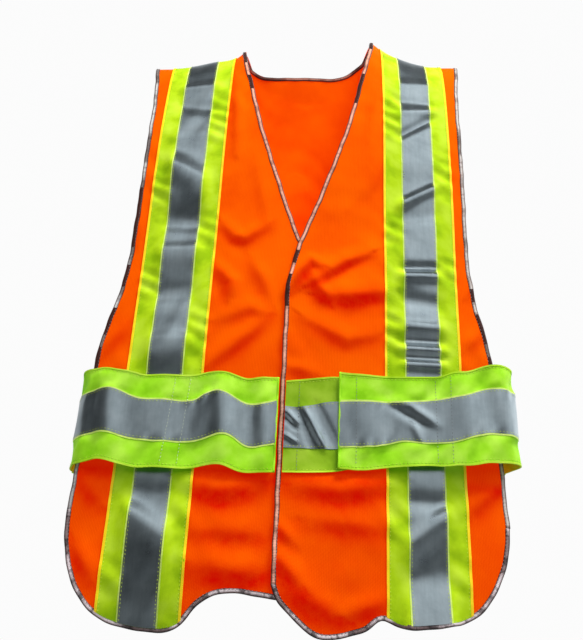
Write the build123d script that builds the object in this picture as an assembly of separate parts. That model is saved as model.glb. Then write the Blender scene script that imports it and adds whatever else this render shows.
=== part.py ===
from build123d import *
import os

# High visibility vest, open at the sides, worn over the shoulders.
# Millimetres. X to the viewer's right, -Y is the front, +Z is up.
# The origin is on the shoulder line, midway between the two neck points.
# Left and right are the wearer's: the wearer's left is on +X.

# ---- overall shape ----
SHOULDER_NECK_X = 89.0      # neck point of each shoulder
SHOULDER_SLOPE = 0.30       # fall of the shoulder line per mm outwards
FRONT_Y = 46.0              # the chest stands this far in front of the shoulder line
SEAM_GAP = 4.0              # cloth face to shoulder line where the cloth meets the seam
SEAM_FRONT_Y = 1.2          # the seam rib reaches this far forward
SEAM_BACK_Y = 1.6           # and this far back, to the bindings of the back
SEAM_HEIGHT = 4.0
HALF_SPAN = 250.0           # panels are cut from ribbons this wide on each side
CENTRE_SPAN = 60.0          # how far a front ribbon runs past the centre line
RIBBON_LENGTH = 840.0       # ribbons are longer than the vest and trimmed to it
CUT_DEPTH = 160.0           # cutting solids reach through the whole vest
STRIP_STEPS = 12            # points that shape the inner line of a binding

# ---- cloth and tape thickness ----
CLOTH = 1.6
BINDING_PROUD = 0.8         # binding stands this far off each face of the cloth
BINDING_WIDTH = 7.0
LIME_THICK = 0.9
SILVER_THICK = 0.4
HOOK_THICK = 1.0
LOOP_THICK = 1.0
HOOK_GAP = 0.4              # air between a hook patch and its loop patch
STRAP_THICK = 1.4

# ---- centre closure ----
OVER_EDGE_X = -14.0         # free edge of the wearer's left front, the outer layer
UNDER_EDGE_X = 22.0         # free edge of the wearer's right front, the inner layer
CLOSURE_CENTRES_Z = (-405.0, -480.0, -690.0)
CLOSURE_WIDTH = 18.0
CLOSURE_HEIGHT = 40.0
CLOSURE_X = 4.0

# ---- vertical tapes ----
TAPE_X = 145.0
TAPE_WIDTH = 86.0
TAPE_SILVER_WIDTH = 38.0

# ---- waist belt ----
BELT_TOP_Z = -525.0
BELT_HEIGHT = 109.0
BELT_SILVER_HEIGHT = 50.0
BELT_HALF_WIDTH = 238.0     # inner face of the belt at the sides
BELT_CORNER = 16.0          # inner radius where it turns round the side
LEFT_TAB_END_X = 51.0
RIGHT_TAB_END_X = -18.0
TAB_HOOK_LENGTH = 90.0
TAB_LOOP_LENGTH = 150.0
PATCH_HEIGHT = 46.0
PATCH_INSET = 12.0          # from a tab's free end to its hook patch
UNDER_BAND_END_X = -20.0
STRAP_SEWN_X = 196.0        # a strap is sewn to the back panel from here outwards
STRAP_SPLIT = 0.5           # half the gap between a strap and its tab at the side

# ---- outlines, half of the vest, in X and Z ----
NECK_REACH = 30.0           # outlines run this far above the shoulder line
NECK_FRONT = [(84.0, -44.0), (75.0, -88.0), (57.0, -174.0), (33.0, -255.0), (9.0, -326.0)]
NECK_BACK = [(80.0, -16.0), (55.0, -33.0), (0.0, -41.0)]
ARMHOLE = [(206.0, -100.0), (204.0, -180.0), (204.0, -340.0), (212.0, -435.0), (222.0, -480.0)]
SHOULDER_TIP = (213.0, -38.0)
OVER_CORNER = (-14.0, -379.0)
UNDER_CORNER = (22.0, -371.0)
V_POINT = (-2.0, -357.0)
SIDE_X = 227.0
SIDE_TOP_Z = -530.0
SIDE_END_Z = -684.0
LEFT_HEM = [(217.0, -726.0), (198.0, -762.0), (173.0, -780.0), (140.0, -786.0), (97.0, -780.0),
            (66.0, -796.0), (40.0, -800.0), (12.0, -781.0), (-14.0, -766.0)]
RIGHT_HEM = [(-218.0, -740.0), (-191.0, -782.0), (-158.0, -796.0), (-120.0, -796.0), (-85.0, -776.0),
             (-60.0, -767.0), (-20.0, -766.0), (22.0, -768.0)]
BACK_HEM = [(217.0, -724.0), (196.0, -758.0), (165.0, -773.0), (120.0, -776.0), (60.0, -771.0), (0.0, -769.0)]

LEFT = 1
RIGHT = -1


# ---- depth of each cloth face from the shoulder line, and of the layers on it ----
UNDER_FACE = FRONT_Y
OVER_FACE = UNDER_FACE + LOOP_THICK + HOOK_GAP + HOOK_THICK + CLOTH
BACK_FACE = FRONT_Y
TAPE_TOP = LIME_THICK + SILVER_THICK
BAND_LIME_TOP = TAPE_TOP + LIME_THICK
BAND_TOP = BAND_LIME_TOP + SILVER_THICK
PATCH_TOP = BAND_TOP + LOOP_THICK
HOOK_FACE = PATCH_TOP + HOOK_GAP
TAB_INNER = HOOK_FACE + HOOK_THICK


def chest_line(face):
    """Depth against height for a cloth face, from the shoulder line down to the hem."""
    reach = face / FRONT_Y
    shape = [(SEAM_GAP, 0.0), (9.0 * reach, -4.0), (20.0 * reach, -20.0), (30.0 * reach, -55.0),
             (39.0 * reach, -115.0), (face, -190.0), (face, -RIBBON_LENGTH)]
    return shape


def to_front_plane(face):
    """Turn a face drawn in X and Z onto the XZ plane."""
    return Plane.XZ * face


def ribbon(face, inner, outer, front, side, start):
    """Sheet between two depths, following the chest line and the slope of the shoulder."""
    sign = -1.0 if front else 1.0
    line = chest_line(face)
    near = [(sign * (y + inner), z) for y, z in line]
    far = [(sign * (y + outer), z) for y, z in reversed(line)]
    rise = SHOULDER_SLOPE * (SHOULDER_NECK_X - start)
    length = HALF_SPAN - start
    flat = make_face(Polyline(*near, *far, close=True))
    solid = Solid.extrude(Plane.YZ * flat.face(), Vector(side * length, 0, -SHOULDER_SLOPE * length))
    return solid.moved(Location((side * start, 0, rise)))


def prism(face):
    """Solid that cuts a ribbon to a shape drawn in X and Z."""
    flat = to_front_plane(face)
    return Solid.extrude(flat, Vector(0, -CUT_DEPTH, 0)).moved(Location((0, CUT_DEPTH / 2.0, 0)))


def plate(x_low, x_high, z_low, z_high, y_from, y_to):
    """Flat patch given by its limits."""
    size = (x_high - x_low, abs(y_to - y_from), z_high - z_low)
    centre = ((x_low + x_high) / 2.0, (y_from + y_to) / 2.0, (z_low + z_high) / 2.0)
    return Pos(*centre) * Box(*size)


def curve(points):
    """Edge through the points: smooth when there are more than two."""
    return Spline(*points) if len(points) > 2 else Line(*points)


def outline_face(runs):
    edges = [curve(run) for run in runs]
    return make_face(edges).face()


def strip(points, width, turn):
    """Band along the inner side of one run of an outline."""
    edge = curve(points)
    steps = STRIP_STEPS if len(points) > 2 else 1
    inner = []
    for step in range(steps + 1):
        along = step / steps
        place = edge.position_at(along)
        way = edge.tangent_at(along)
        inner.append((place.X + turn * way.Y * width, place.Y - turn * way.X * width))
    inner_edge = curve(inner)
    first = Line(edge.position_at(0), inner[0])
    last = Line(edge.position_at(1), inner[-1])
    return make_face([edge, last, inner_edge, first]).face()


def joined(shapes):
    total = shapes[0]
    for shape in shapes[1:]:
        total = total + shape
    return total


def trimmed(shape, tools):
    for tool in tools:
        shape = shape - tool
    return shape


def rect_face(x_low, x_high, z_low, z_high):
    return Pos((x_low + x_high) / 2.0, (z_low + z_high) / 2.0) * Rectangle(x_high - x_low, z_high - z_low).face()


def mirrored(points, side):
    return [(side * x, z) for x, z in points]


# ---- one front ----

def front_runs(side):
    """Named runs of points round one front, from the neck point outwards and down."""
    tip = (side * SHOULDER_TIP[0], SHOULDER_TIP[1])
    tip_top = (tip[0], NECK_REACH)
    neck_point = (side * SHOULDER_NECK_X, 0.0)
    neck_top = (neck_point[0], NECK_REACH)
    side_top = (side * SIDE_X, SIDE_TOP_Z)
    side_end = (side * SIDE_X, SIDE_END_Z)
    hem = LEFT_HEM if side == LEFT else RIGHT_HEM
    corner = OVER_CORNER if side == LEFT else UNDER_CORNER
    neck_low = V_POINT if side == LEFT else (0.0, corner[1] + corner[0])
    neck = [neck_low] + mirrored(NECK_FRONT, side)[::-1] + [neck_point]
    return {
        "top": [neck_top, tip_top],
        "tip": [tip_top, tip],
        "armhole": [tip] + mirrored(ARMHOLE, side) + [side_top],
        "side": [side_top, side_end],
        "hem": [side_end] + hem,
        "centre": [hem[-1], corner],
        "corner": [corner, neck_low],
        "neck": neck,
        "neck_top": [neck_point, neck_top],
    }


def binding_cut(runs, names, side):
    """Cutting solid along several runs in turn, rounded where one run meets the next."""
    strips = [prism(strip(runs[name], BINDING_WIDTH, side)) for name in names]
    joints = [prism((Pos(*runs[name][0]) * Circle(BINDING_WIDTH)).face()) for name in names[1:]]
    return joined(strips + joints)


def front_nodes(side, label, face):
    """Panel, bindings and vertical tape of one front."""
    runs = front_runs(side)
    start = -CENTRE_SPAN
    outline = prism(outline_face(list(runs.values())))
    side_cut = binding_cut(runs, ("tip", "armhole", "side"), side)
    edge_cut = binding_cut(runs, ("centre", "corner", "neck", "neck_top"), side)
    hem_cut = prism(strip(runs["hem"], BINDING_WIDTH, side))
    cloth = ribbon(face, -CLOTH, 0.0, True, side, start)
    bound = ribbon(face, -CLOTH - BINDING_PROUD, BINDING_PROUD, True, side, start)
    lime_sheet = ribbon(face, 0.0, LIME_THICK, True, side, start)
    silver_sheet = ribbon(face, LIME_THICK, TAPE_TOP, True, side, start)
    hem_only = trimmed(hem_cut, [side_cut, edge_cut])
    inner = trimmed(outline, [side_cut, edge_cut, hem_cut])
    lime = prism(tape_face(side, TAPE_WIDTH))
    silver = prism(tape_face(side, TAPE_SILVER_WIDTH))
    return {
        label + "_front_panel": cloth & inner,
        label + "_front_side_binding": bound & (side_cut & outline),
        label + "_front_edge_binding": bound & (edge_cut & outline),
        label + "_front_hem_binding": bound & (hem_only & outline),
        label + "_front_tape_lime": (lime_sheet & inner) & lime,
        label + "_front_tape_silver": (silver_sheet & inner) & silver,
    }


def tape_face(side, width):
    low = side * TAPE_X - width / 2.0
    return rect_face(low, low + width, -RIBBON_LENGTH, NECK_REACH)


def front_waist_nodes(side, label, face):
    """Band sewn across one front, and the loop patch that takes the belt tab."""
    outer = SIDE_X - BINDING_WIDTH
    inner = OVER_EDGE_X + BINDING_WIDTH if side == LEFT else UNDER_BAND_END_X
    low, high = (inner, outer) if side == LEFT else (-outer, inner)
    middle = BELT_TOP_Z - BELT_HEIGHT / 2.0
    half_silver = BELT_SILVER_HEIGHT / 2.0
    half_patch = PATCH_HEIGHT / 2.0
    end = LEFT_TAB_END_X if side == LEFT else RIGHT_TAB_END_X
    near = end + side * PATCH_INSET
    far = near + side * TAB_LOOP_LENGTH
    lime = plate(low, high, BELT_TOP_Z - BELT_HEIGHT, BELT_TOP_Z, -face - TAPE_TOP, -face - BAND_LIME_TOP)
    silver = plate(low, high, middle - half_silver, middle + half_silver,
                   -face - BAND_LIME_TOP, -face - BAND_TOP)
    loop = plate(min(near, far), max(near, far), middle - half_patch, middle + half_patch,
                 -face - BAND_TOP, -face - PATCH_TOP)
    return {
        label + "_front_waist_lime": lime,
        label + "_front_waist_silver": silver,
        label + "_front_waist_loop": loop,
    }


def closure_patches(y_from, y_to):
    half_width = CLOSURE_WIDTH / 2.0
    half_height = CLOSURE_HEIGHT / 2.0
    patches = []
    for centre in CLOSURE_CENTRES_Z:
        patch = plate(CLOSURE_X - half_width, CLOSURE_X + half_width, centre - half_height, centre + half_height,
                      y_from, y_to)
        patches.append(patch)
    return Compound(patches)


# ---- the back ----

def back_runs():
    """Named runs of points round one half of the back, from the neck outwards and down."""
    tip = SHOULDER_TIP
    neck_point = (SHOULDER_NECK_X, 0.0)
    mirrored_neck = [(-x, z) for x, z in NECK_BACK[:-1]]
    mirrored_hem = [(-x, z) for x, z in BACK_HEM[:-1]]
    side_end = (SIDE_X, SIDE_END_Z)
    far_end = (-SIDE_X, SIDE_END_Z)
    return {
        "tip": [(tip[0], NECK_REACH), tip],
        "armhole": [tip] + ARMHOLE + [(SIDE_X, SIDE_TOP_Z)],
        "side": [(SIDE_X, SIDE_TOP_Z), side_end],
        "hem": [side_end] + BACK_HEM + mirrored_hem[::-1] + [far_end],
        "neck": [(-neck_point[0], 0.0)] + mirrored_neck + [NECK_BACK[-1]] + NECK_BACK[:-1][::-1] + [neck_point],
        "neck_top": [neck_point, (neck_point[0], NECK_REACH)],
    }


def back_outline(runs):
    """Cutting solid of the whole back."""
    left = [runs["neck_top"][::-1], runs["tip"], runs["armhole"], runs["side"]]
    left_edges = [curve(run) for run in left]
    right_edges = [curve(mirrored(run, RIGHT)) for run in left]
    neck_top = runs["neck_top"][1]
    tip_top = runs["tip"][0]
    tops = [Line(neck_top, tip_top), Line((-neck_top[0], neck_top[1]), (-tip_top[0], tip_top[1]))]
    edges = left_edges + right_edges + tops + [curve(runs["hem"]), curve(runs["neck"])]
    return prism(make_face(edges).face())


def both_ribbons(inner, outer):
    left = ribbon(BACK_FACE, inner, outer, False, LEFT, 0.0)
    right = ribbon(BACK_FACE, inner, outer, False, RIGHT, 0.0)
    return left + right


def back_nodes():
    """Back panel, its bindings, its vertical tapes and its waist band."""
    runs = back_runs()
    outline = back_outline(runs)
    left_cut = binding_cut(runs, ("tip", "armhole", "side"), LEFT)
    right_cut = mirror(left_cut, about=Plane.YZ)
    neck_top_left = prism(strip(runs["neck_top"], BINDING_WIDTH, LEFT))
    neck_top_right = mirror(neck_top_left, about=Plane.YZ)
    neck_cut = joined([prism(strip(runs["neck"], BINDING_WIDTH, LEFT)), neck_top_left, neck_top_right])
    hem_cut = prism(strip(runs["hem"], BINDING_WIDTH, LEFT))
    inner = trimmed(outline, [left_cut, right_cut, neck_cut, hem_cut])
    cloth = both_ribbons(-CLOTH, 0.0)
    bound = both_ribbons(-CLOTH - BINDING_PROUD, BINDING_PROUD)
    lime_sheet = both_ribbons(0.0, LIME_THICK)
    silver_sheet = both_ribbons(LIME_THICK, TAPE_TOP)
    hem_only = trimmed(hem_cut, [left_cut, right_cut])
    nodes = {
        "back_panel": cloth & inner,
        "back_neck_binding": bound & (neck_cut & outline),
        "back_hem_binding": bound & (hem_only & outline),
        "back_left_side_binding": bound & (left_cut & outline),
        "back_right_side_binding": bound & (right_cut & outline),
    }
    for side, label in ((LEFT, "left"), (RIGHT, "right")):
        nodes["back_" + label + "_tape_lime"] = (lime_sheet & inner) & prism(tape_face(side, TAPE_WIDTH))
        nodes["back_" + label + "_tape_silver"] = (silver_sheet & inner) & prism(tape_face(side, TAPE_SILVER_WIDTH))
    reach = SIDE_X - BINDING_WIDTH
    middle = BELT_TOP_Z - BELT_HEIGHT / 2.0
    half = BELT_SILVER_HEIGHT / 2.0
    nodes["back_waist_lime"] = plate(-reach, reach, BELT_TOP_Z - BELT_HEIGHT, BELT_TOP_Z,
                                     BACK_FACE + TAPE_TOP, BACK_FACE + BAND_LIME_TOP)
    nodes["back_waist_silver"] = plate(-reach, reach, middle - half, middle + half,
                                       BACK_FACE + BAND_LIME_TOP, BACK_FACE + BAND_TOP)
    return nodes


def seam_rib(side):
    """Rib of turned-in cloth along one shoulder seam."""
    section = make_face(Polyline((-SEAM_FRONT_Y, -SEAM_HEIGHT), (SEAM_BACK_Y, -SEAM_HEIGHT), (SEAM_BACK_Y, 0.0),
                                 (-SEAM_FRONT_Y, 0.0), close=True))
    length = SHOULDER_TIP[0] - SHOULDER_NECK_X
    solid = Solid.extrude(Plane.YZ * section.face(), Vector(side * length, 0, -SHOULDER_SLOPE * length))
    return solid.moved(Location((side * SHOULDER_NECK_X, 0, 0)))


# ---- the belt ----

def plan_ring(front_inner, offset_in, offset_out):
    """Face between two rounded rectangles that run round the whole vest, seen from above."""
    def rounded(extra):
        return RectangleRounded(2.0 * (BELT_HALF_WIDTH + extra), 2.0 * (front_inner + extra), BELT_CORNER + extra)
    return rounded(offset_out) - rounded(offset_in)


def belt_piece(side, front, inner_face, end_x, offset_in, offset_out, z_low, z_high):
    """Length of belt from a free end round to the middle of one side."""
    ring = extrude(plan_ring(inner_face, offset_in, offset_out), z_high - z_low)
    ring = Pos(0, 0, z_low) * ring
    far = BELT_HALF_WIDTH + CUT_DEPTH
    x_low, x_high = (end_x, far) if side == LEFT else (-far, end_x)
    y_low, y_high = (-CUT_DEPTH, -STRAP_SPLIT) if front else (STRAP_SPLIT, CUT_DEPTH)
    return ring & plate(x_low, x_high, z_low - 1.0, z_high + 1.0, y_low, y_high)


def belt_layers(side, front, inner_face, end_x, name):
    """Lime strap and the silver strip along its middle."""
    low = BELT_TOP_Z - BELT_HEIGHT
    middle = BELT_TOP_Z - BELT_HEIGHT / 2.0
    half = BELT_SILVER_HEIGHT / 2.0
    lime = belt_piece(side, front, inner_face, end_x, 0.0, STRAP_THICK, low, BELT_TOP_Z)
    silver = belt_piece(side, front, inner_face, end_x, STRAP_THICK, STRAP_THICK + SILVER_THICK,
                        middle - half, middle + half)
    return {name + "_lime": lime, name + "_silver": silver}


def tab_hook(side, face):
    """Hook patch inside the free end of one tab."""
    end = LEFT_TAB_END_X if side == LEFT else RIGHT_TAB_END_X
    near = end + side * PATCH_INSET
    far = near + side * TAB_HOOK_LENGTH
    middle = BELT_TOP_Z - BELT_HEIGHT / 2.0
    half = PATCH_HEIGHT / 2.0
    return plate(min(near, far), max(near, far), middle - half, middle + half, -face - HOOK_FACE, -face - TAB_INNER)


def belt_nodes():
    nodes = {}
    for side, label, face, end in ((LEFT, "left", OVER_FACE, LEFT_TAB_END_X),
                                   (RIGHT, "right", UNDER_FACE, RIGHT_TAB_END_X)):
        nodes.update(belt_layers(side, True, face + TAB_INNER, end, label + "_tab"))
        nodes.update(belt_layers(side, False, BACK_FACE + BAND_TOP, side * STRAP_SEWN_X, label + "_strap"))
        nodes[label + "_tab_hook"] = tab_hook(side, face)
    return nodes


def build_nodes():
    nodes = {}
    nodes.update(front_nodes(LEFT, "left", OVER_FACE))
    nodes.update(front_nodes(RIGHT, "right", UNDER_FACE))
    nodes.update(front_waist_nodes(LEFT, "left", OVER_FACE))
    nodes.update(front_waist_nodes(RIGHT, "right", UNDER_FACE))
    nodes.update(back_nodes())
    nodes.update(belt_nodes())
    nodes["left_front_closure_hook"] = closure_patches(-OVER_FACE + CLOTH, -OVER_FACE + CLOTH + HOOK_THICK)
    nodes["right_front_closure_loop"] = closure_patches(-UNDER_FACE - LOOP_THICK, -UNDER_FACE)
    nodes["left_shoulder_seam"] = seam_rib(LEFT)
    nodes["right_shoulder_seam"] = seam_rib(RIGHT)
    return nodes


os.makedirs("parts", exist_ok=True)
for name, solid in build_nodes().items():
    export_step(solid, "parts/" + name + ".step")
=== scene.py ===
import math

import bpy
import numpy as np
from mathutils import Matrix, Vector


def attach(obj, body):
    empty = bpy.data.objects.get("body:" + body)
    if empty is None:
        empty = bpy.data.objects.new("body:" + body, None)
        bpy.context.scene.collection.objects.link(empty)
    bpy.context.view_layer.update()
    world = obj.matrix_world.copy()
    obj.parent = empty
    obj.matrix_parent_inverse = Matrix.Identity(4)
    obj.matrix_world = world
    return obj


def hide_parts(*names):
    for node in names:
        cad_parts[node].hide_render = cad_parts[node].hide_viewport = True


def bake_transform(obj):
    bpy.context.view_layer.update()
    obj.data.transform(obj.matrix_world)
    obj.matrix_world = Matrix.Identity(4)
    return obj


# High visibility vest. The shapes below are worked out in millimetres and stored in metres.
# X is to the viewer's right, -Y is the front, +Z is up. Left and right are the wearer's: left is on +X.

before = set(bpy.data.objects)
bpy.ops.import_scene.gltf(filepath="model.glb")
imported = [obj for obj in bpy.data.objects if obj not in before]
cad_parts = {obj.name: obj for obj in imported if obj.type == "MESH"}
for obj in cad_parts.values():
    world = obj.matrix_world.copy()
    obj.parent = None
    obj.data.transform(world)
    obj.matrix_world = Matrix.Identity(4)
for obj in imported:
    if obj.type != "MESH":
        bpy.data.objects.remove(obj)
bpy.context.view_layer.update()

MM = 0.001
LEFT = 1
RIGHT = -1

# ---- the garment's shape ----
NECK_X = 89.0
SHOULDER_SLOPE = 0.30
SOFT_CENTRE = 35.0          # rounds the shoulder line off at the centre
CHEST_DROP = 190.0          # height over which the chest comes forward from the shoulder
SIDE_X = 227.0
SIDE_BOW = 12.0             # the side edges lie this far behind the middle of a panel
OVER_FACE = 49.0            # depth of the wearer's left front, the outer layer
UNDER_FACE = 45.0
BACK_FACE = 45.0
# where each front's neckline ends, and where its upright centre edge begins
OVER_V_POINT = (-2.0, -357.0)
UNDER_V_POINT = (0.0, -349.0)
OVER_CORNER = (-14.0, -416.0)
UNDER_CORNER = (22.0, -371.0)
# outlines as X and height: on the wearer's left, and each front's own hem
TIP = (213.0, -38.0)
NECK_FRONT = [
    (89.0, 0.0), (84.0, -44.0), (75.0, -88.0), (57.0, -174.0), (33.0, -255.0), (9.0, -326.0)]
NECK_BACK = [(89.0, 0.0), (80.0, -16.0), (55.0, -33.0), (0.0, -41.0)]
ARMHOLE = [
    TIP, (206.0, -100.0), (204.0, -180.0), (204.0, -340.0), (212.0, -435.0), (222.0, -480.0),
    (227.0, -530.0), (230.0, -610.0), (232.0, -684.0)]
LEFT_HEM = [
    (232.0, -684.0), (229.0, -708.0), (222.0, -730.0), (202.0, -764.0), (175.0, -781.0), (140.0, -787.0),
    (113.0, -786.0), (97.0, -780.0), (82.0, -790.0), (66.0, -796.0), (40.0, -800.0), (24.0, -795.0),
    (8.0, -782.0), (-6.0, -768.0), (-14.0, -752.0)]
RIGHT_HEM = [
    (-232.0, -684.0), (-230.0, -713.0), (-222.0, -742.0), (-194.0, -783.0), (-160.0, -797.0),
    (-126.0, -800.0), (-107.0, -796.0), (-98.0, -788.0), (-86.0, -773.0), (-72.0, -764.0), (-50.0, -761.0),
    (-20.0, -764.0), (22.0, -768.0)]
BACK_HEM = [
    (232.0, -684.0), (223.0, -722.0), (200.0, -750.0), (165.0, -762.0), (120.0, -758.0), (60.0, -748.0),
    (0.0, -744.0)]
HEM_TURN_X = 205.0          # the side edge becomes the hem here
HEM_LOW = -800.0

# ---- tapes, bindings and belt ----
TAPE_X = 145.0
TAPE_HALF = 43.0
SILVER_HALF = 19.0
BINDING_HALF = 2.8
BELT_TOP = -533.0
BELT_BOTTOM = -639.0
BELT_MIDDLE = (BELT_TOP + BELT_BOTTOM) / 2
HINGE_X = 240.3
HINGE_GAP = 3.0             # clear of the side fold, which the tab turns about
SIDE_FOLD_RADIUS = 2.3
CLOTH_HALF = 0.5
TAPE_SHEET_HALF = 0.35


# ================= curves =================

def run_along(path):
    """Distance along a path to each of its points."""
    return np.concatenate([[0], np.cumsum(np.linalg.norm(np.diff(path, axis=0), axis=1))])


def unit(v):
    """The same vectors, each of length one."""
    return v / np.maximum(np.linalg.norm(v, axis=-1, keepdims=True), 1e-9)


def along(path, run, distance):
    """Point of a path, or points, at a distance along it; run is run_along(path)."""
    return np.stack([np.interp(distance, run, path[:, k]) for k in range(path.shape[1])], axis=-1)


def spline(points, count):
    """Evenly spaced points on a natural cubic spline through the given points."""
    p = np.array(points, float)
    if len(p) == 2:
        return p[0] + np.linspace(0, 1, count)[:, None] * (p[1] - p[0])
    chord = run_along(p)
    h = np.diff(chord)
    n = len(p)
    a = np.eye(n)
    b = np.zeros_like(p)
    for i in range(1, n - 1):
        a[i, i - 1:i + 2] = (h[i - 1], 2 * (h[i - 1] + h[i]), h[i])
        b[i] = 6 * ((p[i + 1] - p[i]) / h[i] - (p[i] - p[i - 1]) / h[i - 1])
    m = np.linalg.solve(a, b)
    t = np.linspace(0, chord[-1], count * 6)
    i = np.clip(np.searchsorted(chord, t, side="right") - 1, 0, n - 2)
    lo = (chord[i + 1] - t)[:, None]
    hi = (t - chord[i])[:, None]
    w = h[i][:, None]
    dense = (m[i] * lo ** 3 + m[i + 1] * hi ** 3) / (6 * w)
    dense += (p[i] / w - m[i] * w / 6) * lo + (p[i + 1] / w - m[i + 1] * w / 6) * hi
    return even(dense, count)


def even(path, count):
    """The same path with evenly spaced points."""
    run = run_along(path)
    return along(path, run, np.linspace(0, run[-1], count))


def sideways(path, turn):
    """Unit vectors to the right of a flat path's direction, or to its left where turn is -1."""
    way = unit(np.gradient(path, axis=0))
    return turn * np.stack([way[:, 1], -way[:, 0]], axis=1)


def mirrored(points, side=RIGHT):
    return [(side * x, z) for x, z in points]


def both_sides(half):
    """An outline from one side to the middle, carried on to the other side as its mirror image."""
    return half + mirrored(half[:-1][::-1])


def smoothstep(low, high, x):
    """0 up to low, 1 from high on, and a smooth step between; low may be the larger of the two."""
    t = np.clip((x - low) / (high - low), 0, 1)
    return t * t * (3 - 2 * t)


def bell(x, power=2):
    """1 at x = 0 and less on both sides; a higher power makes its top flatter."""
    return np.exp(-x ** power)


# ================= the surface the cloth lies on =================

# a quarter ellipse from the shoulder line to the chest: its angle, and the distance along it
CHEST_DEPTH = 48.0
PROFILE_TURN = np.linspace(0, math.pi / 2, 400)
PROFILE = np.stack([CHEST_DROP * np.cos(PROFILE_TURN), CHEST_DEPTH * np.sin(PROFILE_TURN)], axis=1)
PROFILE_RUN = run_along(PROFILE)

# X, and the height that the straight shoulder line gains there as the vest hangs, a little tilted
SETTLE = [
    (-235.0, -18.0), (-213.0, -21.0), (-188.0, -27.0), (-164.0, -31.0), (-126.0, -31.0), (-102.0, -29.0),
    (-89.0, -19.0), (-70.0, -10.0), (-50.0, 1.0), (0.0, 13.0), (50.0, 9.0), (70.0, 8.0), (89.0, 8.0),
    (102.0, 0.0), (126.0, -9.0), (164.0, -10.0), (188.0, -3.0), (213.0, 6.0), (235.0, 8.0)]


def settle_of(x, z):
    """Height that the hanging cloth gains, most at the shoulder and nothing at the chest."""
    path = spline(SETTLE, 300)
    return np.interp(x, path[:, 0], path[:, 1]) * smoothstep(-330.0, -60.0, z)


def shoulder_top(x):
    """Height of the unsettled shoulder line, rounded at the centre."""
    soft = np.sqrt(x * x + SOFT_CENTRE ** 2) - math.hypot(NECK_X, SOFT_CENTRE)
    return -SHOULDER_SLOPE * soft


def run_of(x, z):
    """Distance along the cloth below the shoulder line of a point at height z."""
    drop = z - shoulder_top(x)
    turn = np.arccos(np.clip(1 + drop / CHEST_DROP, 0, 1))
    upper = np.interp(turn, PROFILE_TURN, PROFILE_RUN)
    return np.where(drop < -CHEST_DROP, PROFILE_RUN[-1] - CHEST_DROP - drop, upper)


def height_of(x, v):
    """Height of the point at distance v along the cloth below the shoulder line."""
    turn = np.interp(v, PROFILE_RUN, PROFILE_TURN)
    lower = np.maximum(v - PROFILE_RUN[-1], 0)
    return shoulder_top(x) - CHEST_DROP * (1 - np.cos(turn)) - lower


def place(x, v, face, front, offset, folds):
    """Points of the cloth, offset outwards, from X and the distance v below the shoulder line."""
    x = np.asarray(x, float)
    v = np.asarray(v, float)
    turn = np.interp(v, PROFILE_RUN, PROFILE_TURN)
    z = height_of(x, v)
    bow = SIDE_BOW * (np.abs(x) / SIDE_X) ** 4 * np.sin(turn)
    normal_out = np.sin(turn) / face
    normal_up = np.cos(turn) / CHEST_DROP
    size = np.hypot(normal_out, normal_up)
    settled = settle_of(x, z)
    push = offset + folds(x, z + settled) * np.sin(turn)
    depth = face * np.sin(turn) - bow + push * normal_out / size
    z = z + settled + push * normal_up / size
    sign = -1.0 if front else 1.0
    return np.stack([x, sign * depth, z], axis=-1)


# ================= folds =================

def ridge(x, z, centre, height, above, below, lean, x_mid):
    """Fold that runs across, with its own width above and below its crest; lean makes it climb with x."""
    d = z - centre - lean * (x - x_mid)
    return height * bell(d / np.where(d > 0, above, below))


def crease(x, z, start, end, height, half_width):
    """Fold along a line between two points, fading at its ends."""
    way = np.subtract(end, start)
    length = np.hypot(*way)
    way = way / length
    dx = x - start[0]
    dz = z - start[1]
    share = (dx * way[0] + dz * way[1]) / length
    across = dx * way[1] - dz * way[0]
    fade = smoothstep(-0.25, 0.3, share) * smoothstep(-0.25, 0.3, 1 - share)
    return 1.5 * height * fade * bell(across / half_width)


def ripple(x, z):
    """Slow unevenness of hanging cloth."""
    a = 1.9 * np.sin(x / 41.0 + 1.7 * np.sin(z / 95.0)) * np.cos(z / 83.0 + 0.6)
    b = 1.5 * np.sin(z / 37.0 + 1.3 * np.sin(x / 60.0 + 0.8)) * np.sin(x / 52.0 + 0.4)
    c = 0.9 * np.sin(z / 9.0 + 2.0 * np.sin(x / 17.0)) * np.sin(x / 12.0 + z / 29.0)
    c = c * np.maximum(0, np.sin(x / 33.0 + 1.5 * np.sin(z / 47.0)))
    under_belt = bell((z - BELT_MIDDLE) / 58.0, 4)
    return (a + b + c) * (1 - 0.85 * under_belt)


def wing_wrinkles(x, z, side):
    """Small puckers in the lime on both sides of the stiffer silver."""
    d = x - side * TAPE_X
    window = smoothstep(16.0, 25.0, np.abs(d)) * smoothstep(48.0, 38.0, np.abs(d))
    phase = np.where(d > 0, 2.1, 0.0) + 0.9 * side
    pucker = np.sin((z + 0.55 * d) / 3.9 + 1.9 * np.sin(z / 23.0 + phase) + phase)
    here = np.maximum(0, np.sin(z / 27.0 + 1.3 * phase + np.sin(z / 57.0)))
    return 1.25 * pucker * here * window * (1 - bell((z - BELT_MIDDLE) / 56.0, 4))


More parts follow.
